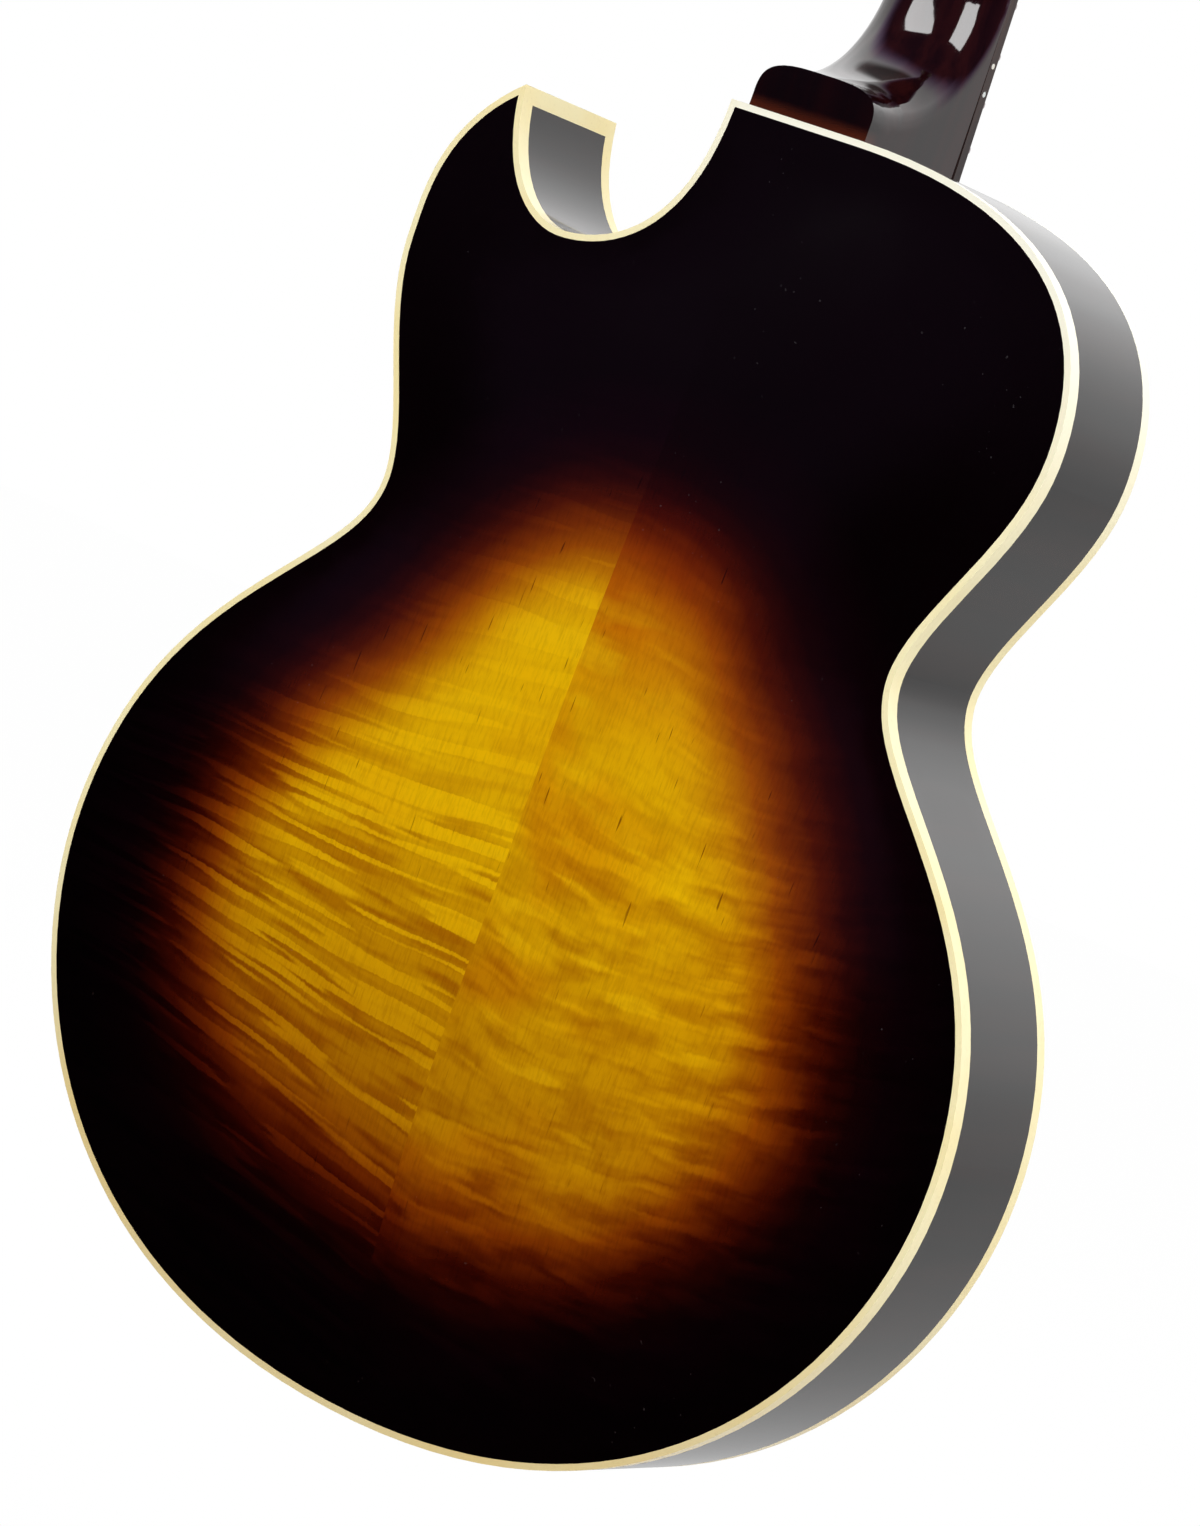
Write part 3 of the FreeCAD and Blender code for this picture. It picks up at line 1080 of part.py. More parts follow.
# Pickguard
guard_top = -GUARD_DROP + GUARD_THICK
guard_plan = [(GUARD_INNER, BRIDGE_S + 18), (GUARD_INNER + 16, BRIDGE_S + 22),
              (0.67 * UPPER_BOUT / 2, 0.6 * BOARD_END_S - 50),
              (0.61 * UPPER_BOUT / 2, BOARD_END_S + 8), (GUARD_INNER, BOARD_END_S + 12)]
guard = slab(guard_plan, -GUARD_DROP, guard_top)
upright = [e for e in guard.Edges if abs(e.tangentAt(e.FirstParameter).z) > 0.9]
guard = guard.makeFillet(6.0, upright)
guard = placed(guard, NECK)
standoffs = []
for x, s in ((GUARD_INNER + 13, 0.5 * (BRIDGE_S + BOARD_END_S) + 12), (GUARD_INNER + 21, BOARD_END_S - 20)):
    post = placed(rod(STANDOFF_RADIUS, V(x, s, -60), V(x, s, -GUARD_DROP)), NECK)
    standoffs.append(post.cut(under_top))
    wood_screw(NECK.multiply(Placement(V(x, s, guard_top), Rotation())), 2.2, 1.0, 1.0, 7)

# Truss rod
truss_rod = placed(rod(ROD_RADIUS, V(0, ROD_START, -ROD_DEPTH), V(0, rod_end, -ROD_DEPTH)), NECK)
rod_nut = rod(ROD_NUT_RADIUS, V(0, nut_start, -ROD_DEPTH), V(0, nut_start + ROD_NUT_LENGTH, -ROD_DEPTH))
rod_nut = rod_nut.cut(rod(ROD_RADIUS + RUN_CLEAR, V(0, nut_start - 1, -ROD_DEPTH),
                          V(0, rod_end + 0.5, -ROD_DEPTH)))
socket = [V(2.6 * math.cos(math.pi * k / 3), 0, 2.6 * math.sin(math.pi * k / 3)) for k in range(6)]
socket_cut = Part.Face(polygon(socket)).extrude(V(0, 9, 0))
socket_cut.translate(V(0, rod_end + 0.5, -ROD_DEPTH))
rod_nut = rod_nut.cut(socket_cut)
axis("truss_rod_nut", NECK, V(0, nut_start, -ROD_DEPTH), V(0, 1, 0))
cover_edges = [Part.makeLine(V(-13, 2, 0), V(13, 2, 0)), Part.makeLine(V(13, 2, 0), V(8.4, 40, 0)),
               Part.Arc(V(8.4, 40, 0), V(0, 49, 0), V(-8.4, 40, 0)).toShape(), Part.makeLine(V(-8.4, 40,
                                                                                               0), V(-13,
                                                                                                     2, 0))]
rod_cover = Part.Face(Part.Wire(cover_edges)).extrude(V(0, 0, 1.8))
rod_cover = placed(rod_cover, HEAD)
for x, y in ((-9.6, 7), (9.6, 7), (0, 44)):
    wood_screw(HEAD.multiply(Placement(V(x, y, 1.8), Rotation())), 1.9, 0.9, 0.9, 9)
for line in strings:
    lug_at = V(line.post.x, line.post.y - GEAR_RADIUS - 5.4, -HEAD_THICK - 1.8)
    wood_screw(HEAD.multiply(Placement(lug_at, Rotation(V(1, 0, 0), 180))), 2.0, 1.0, 0.9, 9)
for x in (-10, 10):
    wood_screw(Placement(V(x, -TAIL_SHEET, 14), Rotation(V(0, 0, 1), V(0, -1, 0))), 2.6, 1.2, 1.5, 16)
wood_screw(Placement(V(0, -PIN_LENGTH, 0), Rotation(V(0, 0, 1), V(0, -1, 0))), 3.2, 0.7, 2.0,
           PIN_LENGTH + 22)

# Assembly
screw_tool = Part.makeCompound(screw_holes)
top_plate = top_plate.cut(Part.makeCompound(top_cuts)).cut(screw_tool)
left_half = box(-wide, 0, -wide, 2 * BODY_LENGTH, -2 * deep, 2 * deep)
right_half = box(0, wide, -wide, 2 * BODY_LENGTH, -2 * deep, 2 * deep)
add("top_bass_half", top_plate.common(left_half))
add("top_treble_half", top_plate.common(right_half))
add("back_bass_half", back_plate.common(left_half))
add("back_treble_half", back_plate.common(right_half))
add("bass_side", bass_side.cut(screw_tool))
add("treble_side", treble_side.cut(screw_tool))
add("cutaway_side", cutaway_side)
add("back_binding", back_binding)
add("top_binding", top_binding, horn_strip)
add("linings", *(back_lining.Solids + top_lining.cut(Part.makeCompound(bars)).Solids))
add("neck_block", neck_block)
add("end_block", end_block.cut(screw_tool))
add("tone_bars", *bars)
add("end_pin", end_pin.cut(screw_tool))
neck = neck.cut(Part.makeCompound(neck_cutters)).cut(head_hole_tool).cut(screw_tool)
add("neck", neck)
add("headstock_veneer", placed(veneer, HEAD).cut(head_hole_tool).cut(placed(pocket, NECK)).cut(screw_tool))
add("fingerboard", placed(board, NECK))
add("frets", *[placed(f, NECK) for f in frets])
add("inlays", *[placed(m, NECK) for m in markers])
add("nut", nut_body)
add("truss_rod", truss_rod)
add("truss_rod_nut", placed(rod_nut, NECK))
add("truss_rod_cover", rod_cover.cut(screw_tool))
add("tuner_housings", *[h.cut(screw_tool) for h in housings])
add("bridge_base", base_solid, *bridge_posts)
add("bridge_saddle", saddle)
add("thumbwheel_bass", wheels[0])
add("thumbwheel_treble", wheels[1])
add("tailpiece", tailpiece.cut(screw_tool))
add("pickguard", guard.cut(screw_tool))
add("pickguard_bracket", *[p.cut(screw_tool) for p in standoffs])
add("pickup_rings", *[r.cut(screw_tool) for r in ring_solids])
add("output_jack", placed(jack, jack_place))
add("strings", *string_solids)
add("wood_screws", *screw_solids)

os.makedirs("parts", exist_ok=True)
for name, solids in sorted(pieces.items()):
    flat = [s for shape in solids for s in (shape.Solids or [shape])]
    whole = flat[0] if len(flat) == 1 else Part.makeCompound(flat)
    whole = whole.copy()
    whole.Placement = STAND.multiply(whole.Placement)
    whole.exportStep("parts/%s.step" % name)
    span = whole.BoundBox
    print(name, len(flat), all(s.isValid() for s in flat), round(whole.Volume / 1000, 2),
          [round(c, 1) for c in (span.XMin, span.XMax, span.YMin, span.YMax, span.ZMin, span.ZMax)])
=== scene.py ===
import json
import math
import bmesh
import bpy
from mathutils import Euler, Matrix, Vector


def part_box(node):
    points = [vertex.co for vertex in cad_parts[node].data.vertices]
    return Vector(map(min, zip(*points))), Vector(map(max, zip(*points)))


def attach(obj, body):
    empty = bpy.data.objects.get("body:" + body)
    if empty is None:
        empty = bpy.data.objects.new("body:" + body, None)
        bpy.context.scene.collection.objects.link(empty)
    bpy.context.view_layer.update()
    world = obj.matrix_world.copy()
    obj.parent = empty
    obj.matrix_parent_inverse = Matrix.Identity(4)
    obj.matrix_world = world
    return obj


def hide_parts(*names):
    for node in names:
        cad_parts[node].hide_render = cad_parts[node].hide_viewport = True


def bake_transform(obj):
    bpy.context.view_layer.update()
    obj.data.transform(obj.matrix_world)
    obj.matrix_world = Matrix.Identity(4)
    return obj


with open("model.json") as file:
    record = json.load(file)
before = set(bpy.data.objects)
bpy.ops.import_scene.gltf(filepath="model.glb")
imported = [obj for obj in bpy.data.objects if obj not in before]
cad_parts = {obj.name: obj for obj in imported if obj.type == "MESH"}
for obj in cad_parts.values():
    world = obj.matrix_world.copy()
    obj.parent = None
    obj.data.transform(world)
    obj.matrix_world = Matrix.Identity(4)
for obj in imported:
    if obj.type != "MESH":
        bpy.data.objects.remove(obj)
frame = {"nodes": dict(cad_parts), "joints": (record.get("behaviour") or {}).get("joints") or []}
for spare in ("Cube", "Light", "Camera"):  # what Blender starts with
    if spare in bpy.data.objects:
        bpy.data.objects.remove(bpy.data.objects[spare])
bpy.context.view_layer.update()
nodes = frame["nodes"]
joints = {joint["name"]: joint for joint in frame["joints"]}
scene = bpy.context.scene
scene.view_settings.view_transform = "Standard"
perMetre = 1000.0  # millimetres in a metre


# shader maths: a socket that adds its own nodes
class Wire:
    def __init__(self, tree, socket):
        self.tree = tree
        self.socket = socket

    def node(self, kind, settings, inputs, output=0):
        made = self.tree.nodes.new(kind)
        for key, value in settings.items():
            if key == "stops":
                fillRamp(made.color_ramp, value)
            else:
                setattr(made, key, value)
        for key, value in inputs.items():
            if isinstance(value, Wire):
                self.tree.links.new(value.socket, made.inputs[key])
            else:
                made.inputs[key].default_value = value
        return Wire(self.tree, made.outputs[output])

    def math(self, operation, first, second=0.0):
        return self.node("ShaderNodeMath", {"operation": operation}, {0: first, 1: second})

    def __add__(self, other):
        return self.math("ADD", self, other)

    def __radd__(self, other):
        return self.math("ADD", other, self)

    def __sub__(self, other):
        return self.math("SUBTRACT", self, other)

    def __rsub__(self, other):
        return self.math("SUBTRACT", other, self)

    def __mul__(self, other):
        return self.math("MULTIPLY", self, other)

    def __rmul__(self, other):
        return self.math("MULTIPLY", other, self)

    def __truediv__(self, other):
        return self.math("DIVIDE", self, other)

    def __rtruediv__(self, other):
        return self.math("DIVIDE", other, self)

    def __pow__(self, other):
        return self.math("POWER", self, other)

    def __abs__(self):
        return self.math("ABSOLUTE", self)

    def __gt__(self, other):
        return self.math("GREATER_THAN", self, other)

    def __lt__(self, other):
        return self.math("LESS_THAN", self, other)


def fillRamp(ramp, stops):
    while len(ramp.elements) > 1:
        ramp.elements.remove(ramp.elements[-1])
    ramp.elements[0].position = stops[0][0]
    ramp.elements[0].color = stops[0][1]
    for at, tone in stops[1:]:
        ramp.elements.new(at).color = tone


def tint(red, green, blue):
    # screen values 0-255 to linear colour
    line = []
    for part in (red, green, blue):
        part = part / 255
        line.append(part / 12.92 if part <= 0.04045 else ((part + 0.055) / 1.055) ** 2.4)
    return (line[0], line[1], line[2], 1.0)


def step(wire, low, high):
    return wire.node("ShaderNodeMapRange", {"interpolation_type": "SMOOTHSTEP"},
                     {0: wire, 1: low, 2: high, 3: 0.0, 4: 1.0})


def blendTone(factor, first, second, mode="MIX"):
    return factor.node("ShaderNodeMix", {"data_type": "RGBA", "blend_type": mode},
                       {0: factor, 6: first, 7: second}, 2)


def paint(colour, factor, tone):
    return blendTone(factor, colour, tint(*tone))


def stain(colour, factor, tone):
    return blendTone(factor, colour, tint(*tone), "MULTIPLY")


def grain(place, stretch, detail=2.0, rough=0.5, shift=0.0):
    # noise stretched along the axes of the piece, in features per metre
    moved = place.node("ShaderNodeVectorMath", {"operation": "MULTIPLY_ADD"},
                       {0: place, 1: stretch, 2: (shift, 0.37 * shift, 0.61 * shift)})
    return place.node("ShaderNodeTexNoise", {"noise_dimensions": "3D"},
                      {"Vector": moved, "Scale": 1.0, "Detail": detail, "Roughness": rough})


def marks(place, row, shift=0.0):
    # grain cut to soft-edged marks; a row is stretch, cut, detail, roughness and its own shift
    stretch, (low, high), detail, rough, offset = row
    return step(grain(place, stretch, detail, rough, shift + offset), low, high)


def axes(place, wanted="xyz"):
    split = place.node("ShaderNodeSeparateXYZ", {}, {0: place}).socket.node
    return [Wire(place.tree, split.outputs["xyz".index(letter)]) for letter in wanted]


def vector(x, y, z):
    some = [part for part in (x, y, z) if isinstance(part, Wire)][0]
    return some.node("ShaderNodeCombineXYZ", {}, {0: x, 1: y, 2: z})


def startFinish(name, constants):
    finish = bpy.data.materials.new(name)
    finish.use_nodes = True
    tree = finish.node_tree
    tree.nodes.clear()
    out = tree.nodes.new("ShaderNodeOutputMaterial")
    shader = tree.nodes.new("ShaderNodeBsdfPrincipled")
    tree.links.new(shader.outputs[0], out.inputs[0])
    for key, value in constants.items():
        shader.inputs[key].default_value = value
    place = Wire(tree, tree.nodes.new("ShaderNodeTexCoord").outputs["Object"])
    return finish, shader, place


def feed(shader, wire, name):
    wire.tree.links.new(wire.socket, shader.inputs[name])


# camera at the photograph's view
cameraSet = {
    "place": (-0.916899, 1.540598, 0.416646),
    "turn": (84.7073, -19.8526, -147.3101),
    "lens": 112.932,
    "sensor": 36.0,
    "nearest": 0.05,
}
cameraData = bpy.data.cameras.new("camera")
cameraData.lens = cameraSet["lens"]
cameraData.sensor_width = cameraSet["sensor"]
cameraData.clip_start = cameraSet["nearest"]
camera = bpy.data.objects.new("camera", cameraData)
camera.location = cameraSet["place"]
camera.rotation_euler = Euler([math.radians(a) for a in cameraSet["turn"]], "XYZ")
scene.collection.objects.link(camera)
scene.camera = camera

# studio: white to the eye; gloss mirrors a dark room behind the guitar and white levels before its front
studioSet = {
    "ambient": 0.62,
    "whiteLevels": [(-1.0, 0.62), (-0.3, 0.66), (-0.05, 0.74), (0.07, 0.88), (0.18, 1.14), (0.28, 1.27),
                    (0.36, 1.42), (0.44, 1.6), (0.55, 2.1), (0.7, 2.2), (1.0, 1.7)],
    "brightest": 2.4,
    "darkLow": 0.004, "darkHigh": 0.052, "darkRise": (-0.05, 0.09),
    "darkTone": (1.0, 0.56, 1.2, 1.0),
    "gapEdge": (0.955, 0.985), "gapShare": 0.85,
    "roofWay": (0.32, -0.38, 0.87), "roofEdge": (0.945, 0.978), "roofShare": 0.9,
    "frontLean": (0.75, 0.26, 0.73), "frontEdge": (0.05, 0.50),
}
world = bpy.data.worlds.new("studio")
scene.world = world
world.use_nodes = True
worldTree = world.node_tree
worldTree.nodes.clear()
worldOut = worldTree.nodes.new("ShaderNodeOutputWorld")
skyWay = Wire(worldTree, worldTree.nodes.new("ShaderNodeTexCoord").outputs["Generated"])
skyX, skyY, skyZ = axes(skyWay)
rays = worldTree.nodes.new("ShaderNodeLightPath")
isCamera = Wire(worldTree, rays.outputs["Is Camera Ray"])
isGlossy = Wire(worldTree, rays.outputs["Is Glossy Ray"])
isThrough = Wire(worldTree, rays.outputs["Is Transmission Ray"])
low, high, ambient = studioSet["darkLow"], studioSet["darkHigh"], studioSet["ambient"]
behind = low + (high - low) * step(skyZ, *studioSet["darkRise"])
brightest = studioSet["brightest"]
greys = [((at + 1) / 2, (level / brightest,) * 3 + (1.0,)) for at, level in studioSet["whiteLevels"]]
ahead = skyZ.node("ShaderNodeValToRGB", {"stops": greys}, {0: skyZ * 0.5 + 0.5}) * brightest
frontGap = step(0.0 - skyY, *studioSet["gapEdge"])  # a dark opening straight before the front
roofX, roofY, roofZ = studioSet["roofWay"]
roofGap = step(skyX * roofX + skyY * roofY + skyZ * roofZ, *studioSet["roofEdge"])
ahead = ahead * (1.0 - studioSet["gapShare"] * frontGap) * (1.0 - studioSet["roofShare"] * roofGap)
leanX, leanZ, twist = studioSet["frontLean"]
frontShare = step(skyX * leanX - skyY + skyZ * leanZ - skyX * skyZ * twist, *studioSet["frontEdge"])
mirrored = behind + (ahead - behind) * frontShare
unseen = isThrough + (1.0 - isThrough) * ambient
skyLevel = isCamera + (1.0 - isCamera) * (isGlossy * mirrored + (1.0 - isGlossy) * unseen)
skyTone = blendTone(isGlossy * (1.0 - frontShare), (1, 1, 1, 1), studioSet["darkTone"])
backdrop = skyWay.node("ShaderNodeBackground", {}, {"Color": skyTone, "Strength": skyLevel})
worldTree.links.new(backdrop.socket, worldOut.inputs[0])

# two soft boxes light the guitar, two panels only show in its gloss, on the neck
neckTop = (0.0, -0.027, 0.563)
lampSet = {
    "keyBox": {"place": (-1.6, 1.5, 2.3), "aim": (0, 0, 0.35), "size": (1.2, 1.2), "power": 50},
    "frontBox": {"place": (1.4, -1.6, 2.2), "aim": (0, 0, 0.4), "size": (1.2, 1.2), "power": 36},
    "leftPanel": {"place": (0.49, 0.728, 0.945), "aim": neckTop, "size": (0.366, 0.6), "power": 7.4,
                  "mirrorOnly": True},
    "rightPanel": {"place": (-0.618, 0.999, 1.148), "aim": neckTop, "size": (0.62, 0.92), "power": 21,
                   "mirrorOnly": True},
}


def softBox(name, place, aim, size, power, mirrorOnly=False):
    lamp = bpy.data.lights.new(name, "AREA")
    lamp.shape = "RECTANGLE"
    lamp.size, lamp.size_y = size
    lamp.energy = power
    lit = bpy.data.objects.new(name, lamp)
    lit.location = place
    lit.rotation_euler = (Vector(aim) - Vector(place)).to_track_quat("-Z", "Y").to_euler()
    lit.visible_camera = False
    lit.visible_diffuse = not mirrorOnly
    lit.visible_glossy = mirrorOnly
    scene.collection.objects.link(lit)


for name, row in lampSet.items():
    softBox(name, **row)

floorSet = {
    "level": -0.30, "edge": 0.30, "reach": 6.0, "rough": 0.6, "tone": (0.9, 0.9, 0.9, 1),
    "darkSheen": (0.03, 0.025, 0.035, 1), "paleSheen": (0.68, 0.68, 0.68, 1), "sheenEdge": (-0.05, 0.5),
    "nearShare": 0.70, "farMore": 0.28, "farEdge": (0.5, 0.9),
}


def makeFloor():
    # white to the camera but for the shadow, and part of the mirrored room to gloss
    constants = {"Roughness": floorSet["rough"], "Base Color": floorSet["tone"]}
    finish, shader, place = startFinish("paleFloor", constants)
    tree = place.tree
    seen = tree.nodes.new("ShaderNodeLightPath")
    glow = tree.nodes.new("ShaderNodeEmission")
    mirror = Wire(tree, seen.outputs["Is Glossy Ray"])
    ahead = 0.0 - axes(place, "y")[0]
    sheen = blendTone(step(ahead, *floorSet["sheenEdge"]), floorSet["darkSheen"], floorSet["paleSheen"])
    tree.links.new(blendTone(mirror, (1, 1, 1, 1), sheen).socket, glow.inputs["Color"])
    share = Wire(tree, seen.outputs["Is Camera Ray"])
    share = share.math("MAXIMUM", share, mirror)
    share = share.math("MAXIMUM", share, Wire(tree, seen.outputs["Is Transmission Ray"]))
    away = place.node("ShaderNodeVectorMath", {"operation": "LENGTH"}, {0: place}, 1)
    share = share * (floorSet["nearShare"] + floorSet["farMore"] * step(away, *floorSet["farEdge"]))
    lit, plain = Wire(tree, glow.outputs[0]), Wire(tree, shader.outputs[0])
    mixed = share.node("ShaderNodeMixShader", {}, {0: share, 1: plain, 2: lit})
    tree.links.new(mixed.socket, tree.nodes["Material Output"].inputs[0])
    reach, edge, level = floorSet["reach"], floorSet["edge"], floorSet["level"]
    corners = [(-reach, -reach, level), (reach, -reach, level), (reach, edge, level), (-reach, edge, level)]
    mesh = bpy.data.meshes.new("floor")
    mesh.from_pydata(corners, [], [(0, 1, 2, 3)])
    mesh.materials.append(finish)
    floor = bpy.data.objects.new("floor", mesh)
    scene.collection.objects.link(floor)


makeFloor()
print("camera, studio and floor ready")

lacquer = {"IOR": 1.5}

# flamed maple with a sunburst: two rounds of amber joined by straight flanks, sizes in mm
burstSet = {
    "lowCentre": 172.0, "lowRadius": 133.0, "lowDepth": 92.0, "topCentre": 279.5, "topRadius": 66.0,
    "bassWider": 3.0, "bassEdge": (-0.04, 0.04), "wander": 18.0, "finger": 6.0, "fingerZero": 0.4,
    "trebleIn": 3.3, "trebleEdge": (0.01, 0.06), "trebleRise": (0.185, 0.275),
}
burstStops = [
    (-45, (228, 171, 2)), (-28, (217, 153, 2)), (-18, (194, 122, 1)), (-8, (155, 75, 1)), (0, (118, 45, 1)),
    (9, (77, 19, 1)), (18, (44, 6, 2)), (27, (22, 2, 3)), (38, (12, 1, 4)), (60, (5, 1, 2)),
]


def burstDepth(place):
    # distance from the burst edge in mm, negative in the amber middle
    x, z = axes(place, "xz")
    big, small = burstSet["lowRadius"], burstSet["topRadius"]
    rise = burstSet["topCentre"] - burstSet["lowCentre"]
    lean = (big - small) / rise
    flank = math.sqrt(1 - lean * lean)
    squeeze = big / burstSet["lowDepth"]
    side = abs(x * perMetre)
    lift = z * perMetre - burstSet["lowCentre"]
    under = lift < 0.0
    lift = lift * (1.0 + under * (squeeze - 1.0))
    radius = (side * side + lift * lift) ** 0.5
    share = lift / radius.math("MAXIMUM", radius, 1.0)
    low = (radius - big) * (1.0 - under * share * share * (1 - 1 / squeeze))
    over = lift - rise
    top = (side * side + over * over) ** 0.5 - small
    middle = side * flank + lift * lean - big
    zone = lift * flank - side * lean
    isLow = zone < 0.0
    isTop = zone > flank * rise
    depth = low * isLow + top * isTop + middle * (1.0 - isLow) * (1.0 - isTop)
    wander = (grain(place, (9, 9, 9)) - 0.5) * burstSet["wander"]
    return depth + wander - burstSet["bassWider"] * (1.0 - step(x, *burstSet["bassEdge"]))


# stripes across the grain: how far they stray in metres, how each half bends, how dark, where they fade
flameSet = {
    "sway": 0.014, "fibre": 0.0015, "ripple": 0.005,
    "fan": 0.15, "fanTurn": 0.22, "fanRise": (0.10, 0.26),
    "looseSway": 1.6, "looseFibre": 1.5, "looseLean": 0.14, "looseBow": 1.2,
    "treble": 0.52, "wide": 0.44, "fine": 0.14, "bass": 0.34, "cloud": 0.44, "thin": 0.18, "tuft": 0.85,
    "trebleFade": (0.185, 0.275), "trebleKeep": 0.22, "bassFade": (0.19, 0.31), "bassKeep": 0.30,
}
flameMarks = {
    "wide": ((22, 1, 150), (0.44, 0.60), 1.0, 0.5, 3.0),
    "fine": ((30, 1, 285), (0.48, 0.64), 1.0, 0.5, 8.0),
    "cloud": ((38, 1, 104), (0.40, 0.68), 2.0, 0.55, 11.0),
    "thin": ((38, 1, 230), (0.50, 0.68), 1.0, 0.5, 15.0),
    "ridge": ((12, 1, 190), (0.53, 0.595), 1.0, 0.5, 17.0),
    "tuft": ((26, 1, 135), (0.50, 0.66), 1.5, 0.5, 19.0),
}


def flameStripes(place, shift):
    # two halves of one board: straight fanned lines on the treble half, looser ones on the bass half
    flame = flameSet
    x, z = axes(place, "xz")
    out = abs(x)
    sway = (grain(place, (9, 1, 5), 1.0, 0.5, shift) - 0.5) * flame["sway"]
    fibre = (grain(place, (520, 4, 26), 2.0, 0.6, shift + 2.0) - 0.5) * flame["fibre"]
    ripple = (grain(place, (34, 1, 16), 1.0, 0.5, shift + 4.0) - 0.5) * flame["ripple"]
    fan = flame["fan"] - flame["fanTurn"] * step(z, *flame["fanRise"])
    crisp = vector(x, 0.0, z + sway + fibre - out * fan)
    stray = sway * flame["looseSway"] + ripple + fibre * flame["looseFibre"]
    loose = vector(x, 0.0, z + stray + out * flame["looseLean"] - out * out * flame["looseBow"])
    wide, fine, ridge = [marks(crisp, flameMarks[key], shift) for key in ("wide", "fine", "ridge")]
    cloud, thin, tuft = [marks(loose, flameMarks[key], shift) for key in ("cloud", "thin", "tuft")]
    treble = (1.0 - ridge) * (flame["treble"] + flame["wide"] * wide) + fine * flame["fine"]
    bass = (1.0 - flame["tuft"] * tuft) * (flame["bass"] + flame["cloud"] * cloud) + thin * flame["thin"]
    trebleShare = 1.0 - (1 - flame["trebleKeep"]) * step(z, *flame["trebleFade"])
    bassShare = 1.0 - (1 - flame["bassKeep"]) * step(z, *flame["bassFade"])
    half = x > 0.0
    return treble * trebleShare * half + bass * bassShare * (1.0 - half)


mapleSet = {
    "litDepth": (-46.0, -14.0), "seamReach": (-0.075, -0.02),
    "amberTone": (240, 187, 2), "amberRise": (0.12, 0.23), "amberSeam": 0.5, "amberSide": 0.45,
    "dullTone": (234, 200, 184), "dullRise": (0.26, 0.315), "dullAmber": 0.4,
    "warmTone": (238, 206, 190), "warmShare": 0.8, "warmSide": 0.7,
    "brightTone": (234, 182, 8), "brightShare": 0.6, "brightFlame": (0.1, 0.4),
    "flameTone": (188, 150, 100),
    "fuzzTone": (206, 190, 170), "fuzzShare": 0.30,
    "streakTone": (206, 190, 168), "streakShare": 0.22,
    "fleckTone": (120, 76, 36), "fleckShare": 0.35, "fleckMore": 0.45, "fleckRise": (0.17, 0.26),
    "dustTone": (190, 186, 190), "dustShare": 0.06,
    "shadeTone": (204, 176, 158), "shadeBass": 0.55, "shadeEdge": (-0.08, 0.04), "shadeRise": (0.08, 0.24),
    "gloss": 0.045, "glossMore": 0.03,
}
mapleMarks = {
    "warm": ((16, 1, 24), (0.46, 0.64), 2.0, 0.5, 30.0),
    "bright": ((26, 1, 140), (0.48, 0.66), 1.5, 0.5, 20.0),
    "fuzz": ((1300, 4, 170), (0.42, 0.70), 2.0, 0.6, 9.0),
    "streak": ((420, 4, 9), (0.50, 0.74), 3.0, 0.65, 0.0),
    "fleck": ((760, 4, 62), (0.70, 0.77), 1.0, 0.5, 5.0),
    "dust": ((760, 760, 760), (0.845, 0.865), 0.0, 0.5, 50.0),
    "dusty": ((20, 20, 20), (0.48, 0.62), 2.0, 0.5, 60.0),
}


def burstMaple(name, shift, strength):
    finish, shader, place = startFinish(name, lacquer)
    maple = mapleSet
    x, z = axes(place, "xz")
    seen = {key: marks(place, row, shift) for key, row in mapleMarks.items()}
    flame = flameStripes(place, shift)
    depth = burstDepth(place) + (flame - burstSet["fingerZero"]) * burstSet["finger"] * strength
    inward = step(x, *burstSet["trebleEdge"]) * step(z, *burstSet["trebleRise"])
    depth = depth + burstSet["trebleIn"] * inward
    low, high = burstStops[0][0], burstStops[-1][0]
    stops = [((at - low) / (high - low), tint(*tone)) for at, tone in burstStops]
    colour = depth.node("ShaderNodeValToRGB", {"stops": stops}, {0: (depth - low) / (high - low)})
    lit = 1.0 - step(depth, *maple["litDepth"])
    offSeam = (1.0 - step(x, *maple["seamReach"])) + (x > 0.0)  # nought beside the seam, bass half
    dull = (1.0 - offSeam) * step(z, *maple["dullRise"])
    amber = maple["amberSeam"] + maple["amberSide"] * offSeam - maple["dullAmber"] * dull
    # the amber middle painted yellower and brighter from the lower bout up: partly the burst's own amber,
    # partly painted light from above
    colour = paint(colour, lit * step(z, *maple["amberRise"]) * amber, maple["amberTone"])
    colour = stain(colour, dull, maple["dullTone"])
    warm = seen["warm"] * (1.0 - maple["warmSide"] * offSeam) * maple["warmShare"]
    colour = stain(colour, warm, maple["warmTone"])
    bright = seen["bright"] * (1.0 - step(flame, *maple["brightFlame"])) * strength * maple["brightShare"]
    colour = paint(colour, bright * lit, maple["brightTone"])
    colour = stain(colour, flame * strength, maple["flameTone"])
    colour = stain(colour, seen["fuzz"] * maple["fuzzShare"], maple["fuzzTone"])
    colour = stain(colour, seen["streak"] * maple["streakShare"], maple["streakTone"])
    fleck = seen["fleck"] * (maple["fleckShare"] + maple["fleckMore"] * step(z, *maple["fleckRise"]))
    colour = stain(colour, fleck, maple["fleckTone"])
    dust = seen["dust"] * seen["dusty"] * strength * maple["dustShare"]
    colour = paint(colour, dust, maple["dustTone"])
    # painted shade: the lower body darker, more on the treble half, as the light falls off downward
    shade = maple["shadeBass"] + (1 - maple["shadeBass"]) * step(x, *maple["shadeEdge"])
    colour = stain(colour, shade * (1.0 - step(z, *maple["shadeRise"])), maple["shadeTone"])
    feed(shader, colour, "Base Color")
    feed(shader, maple["gloss"] + maple["glossMore"] * grain(place, (14, 14, 14), 3.0), "Roughness")
    return finish


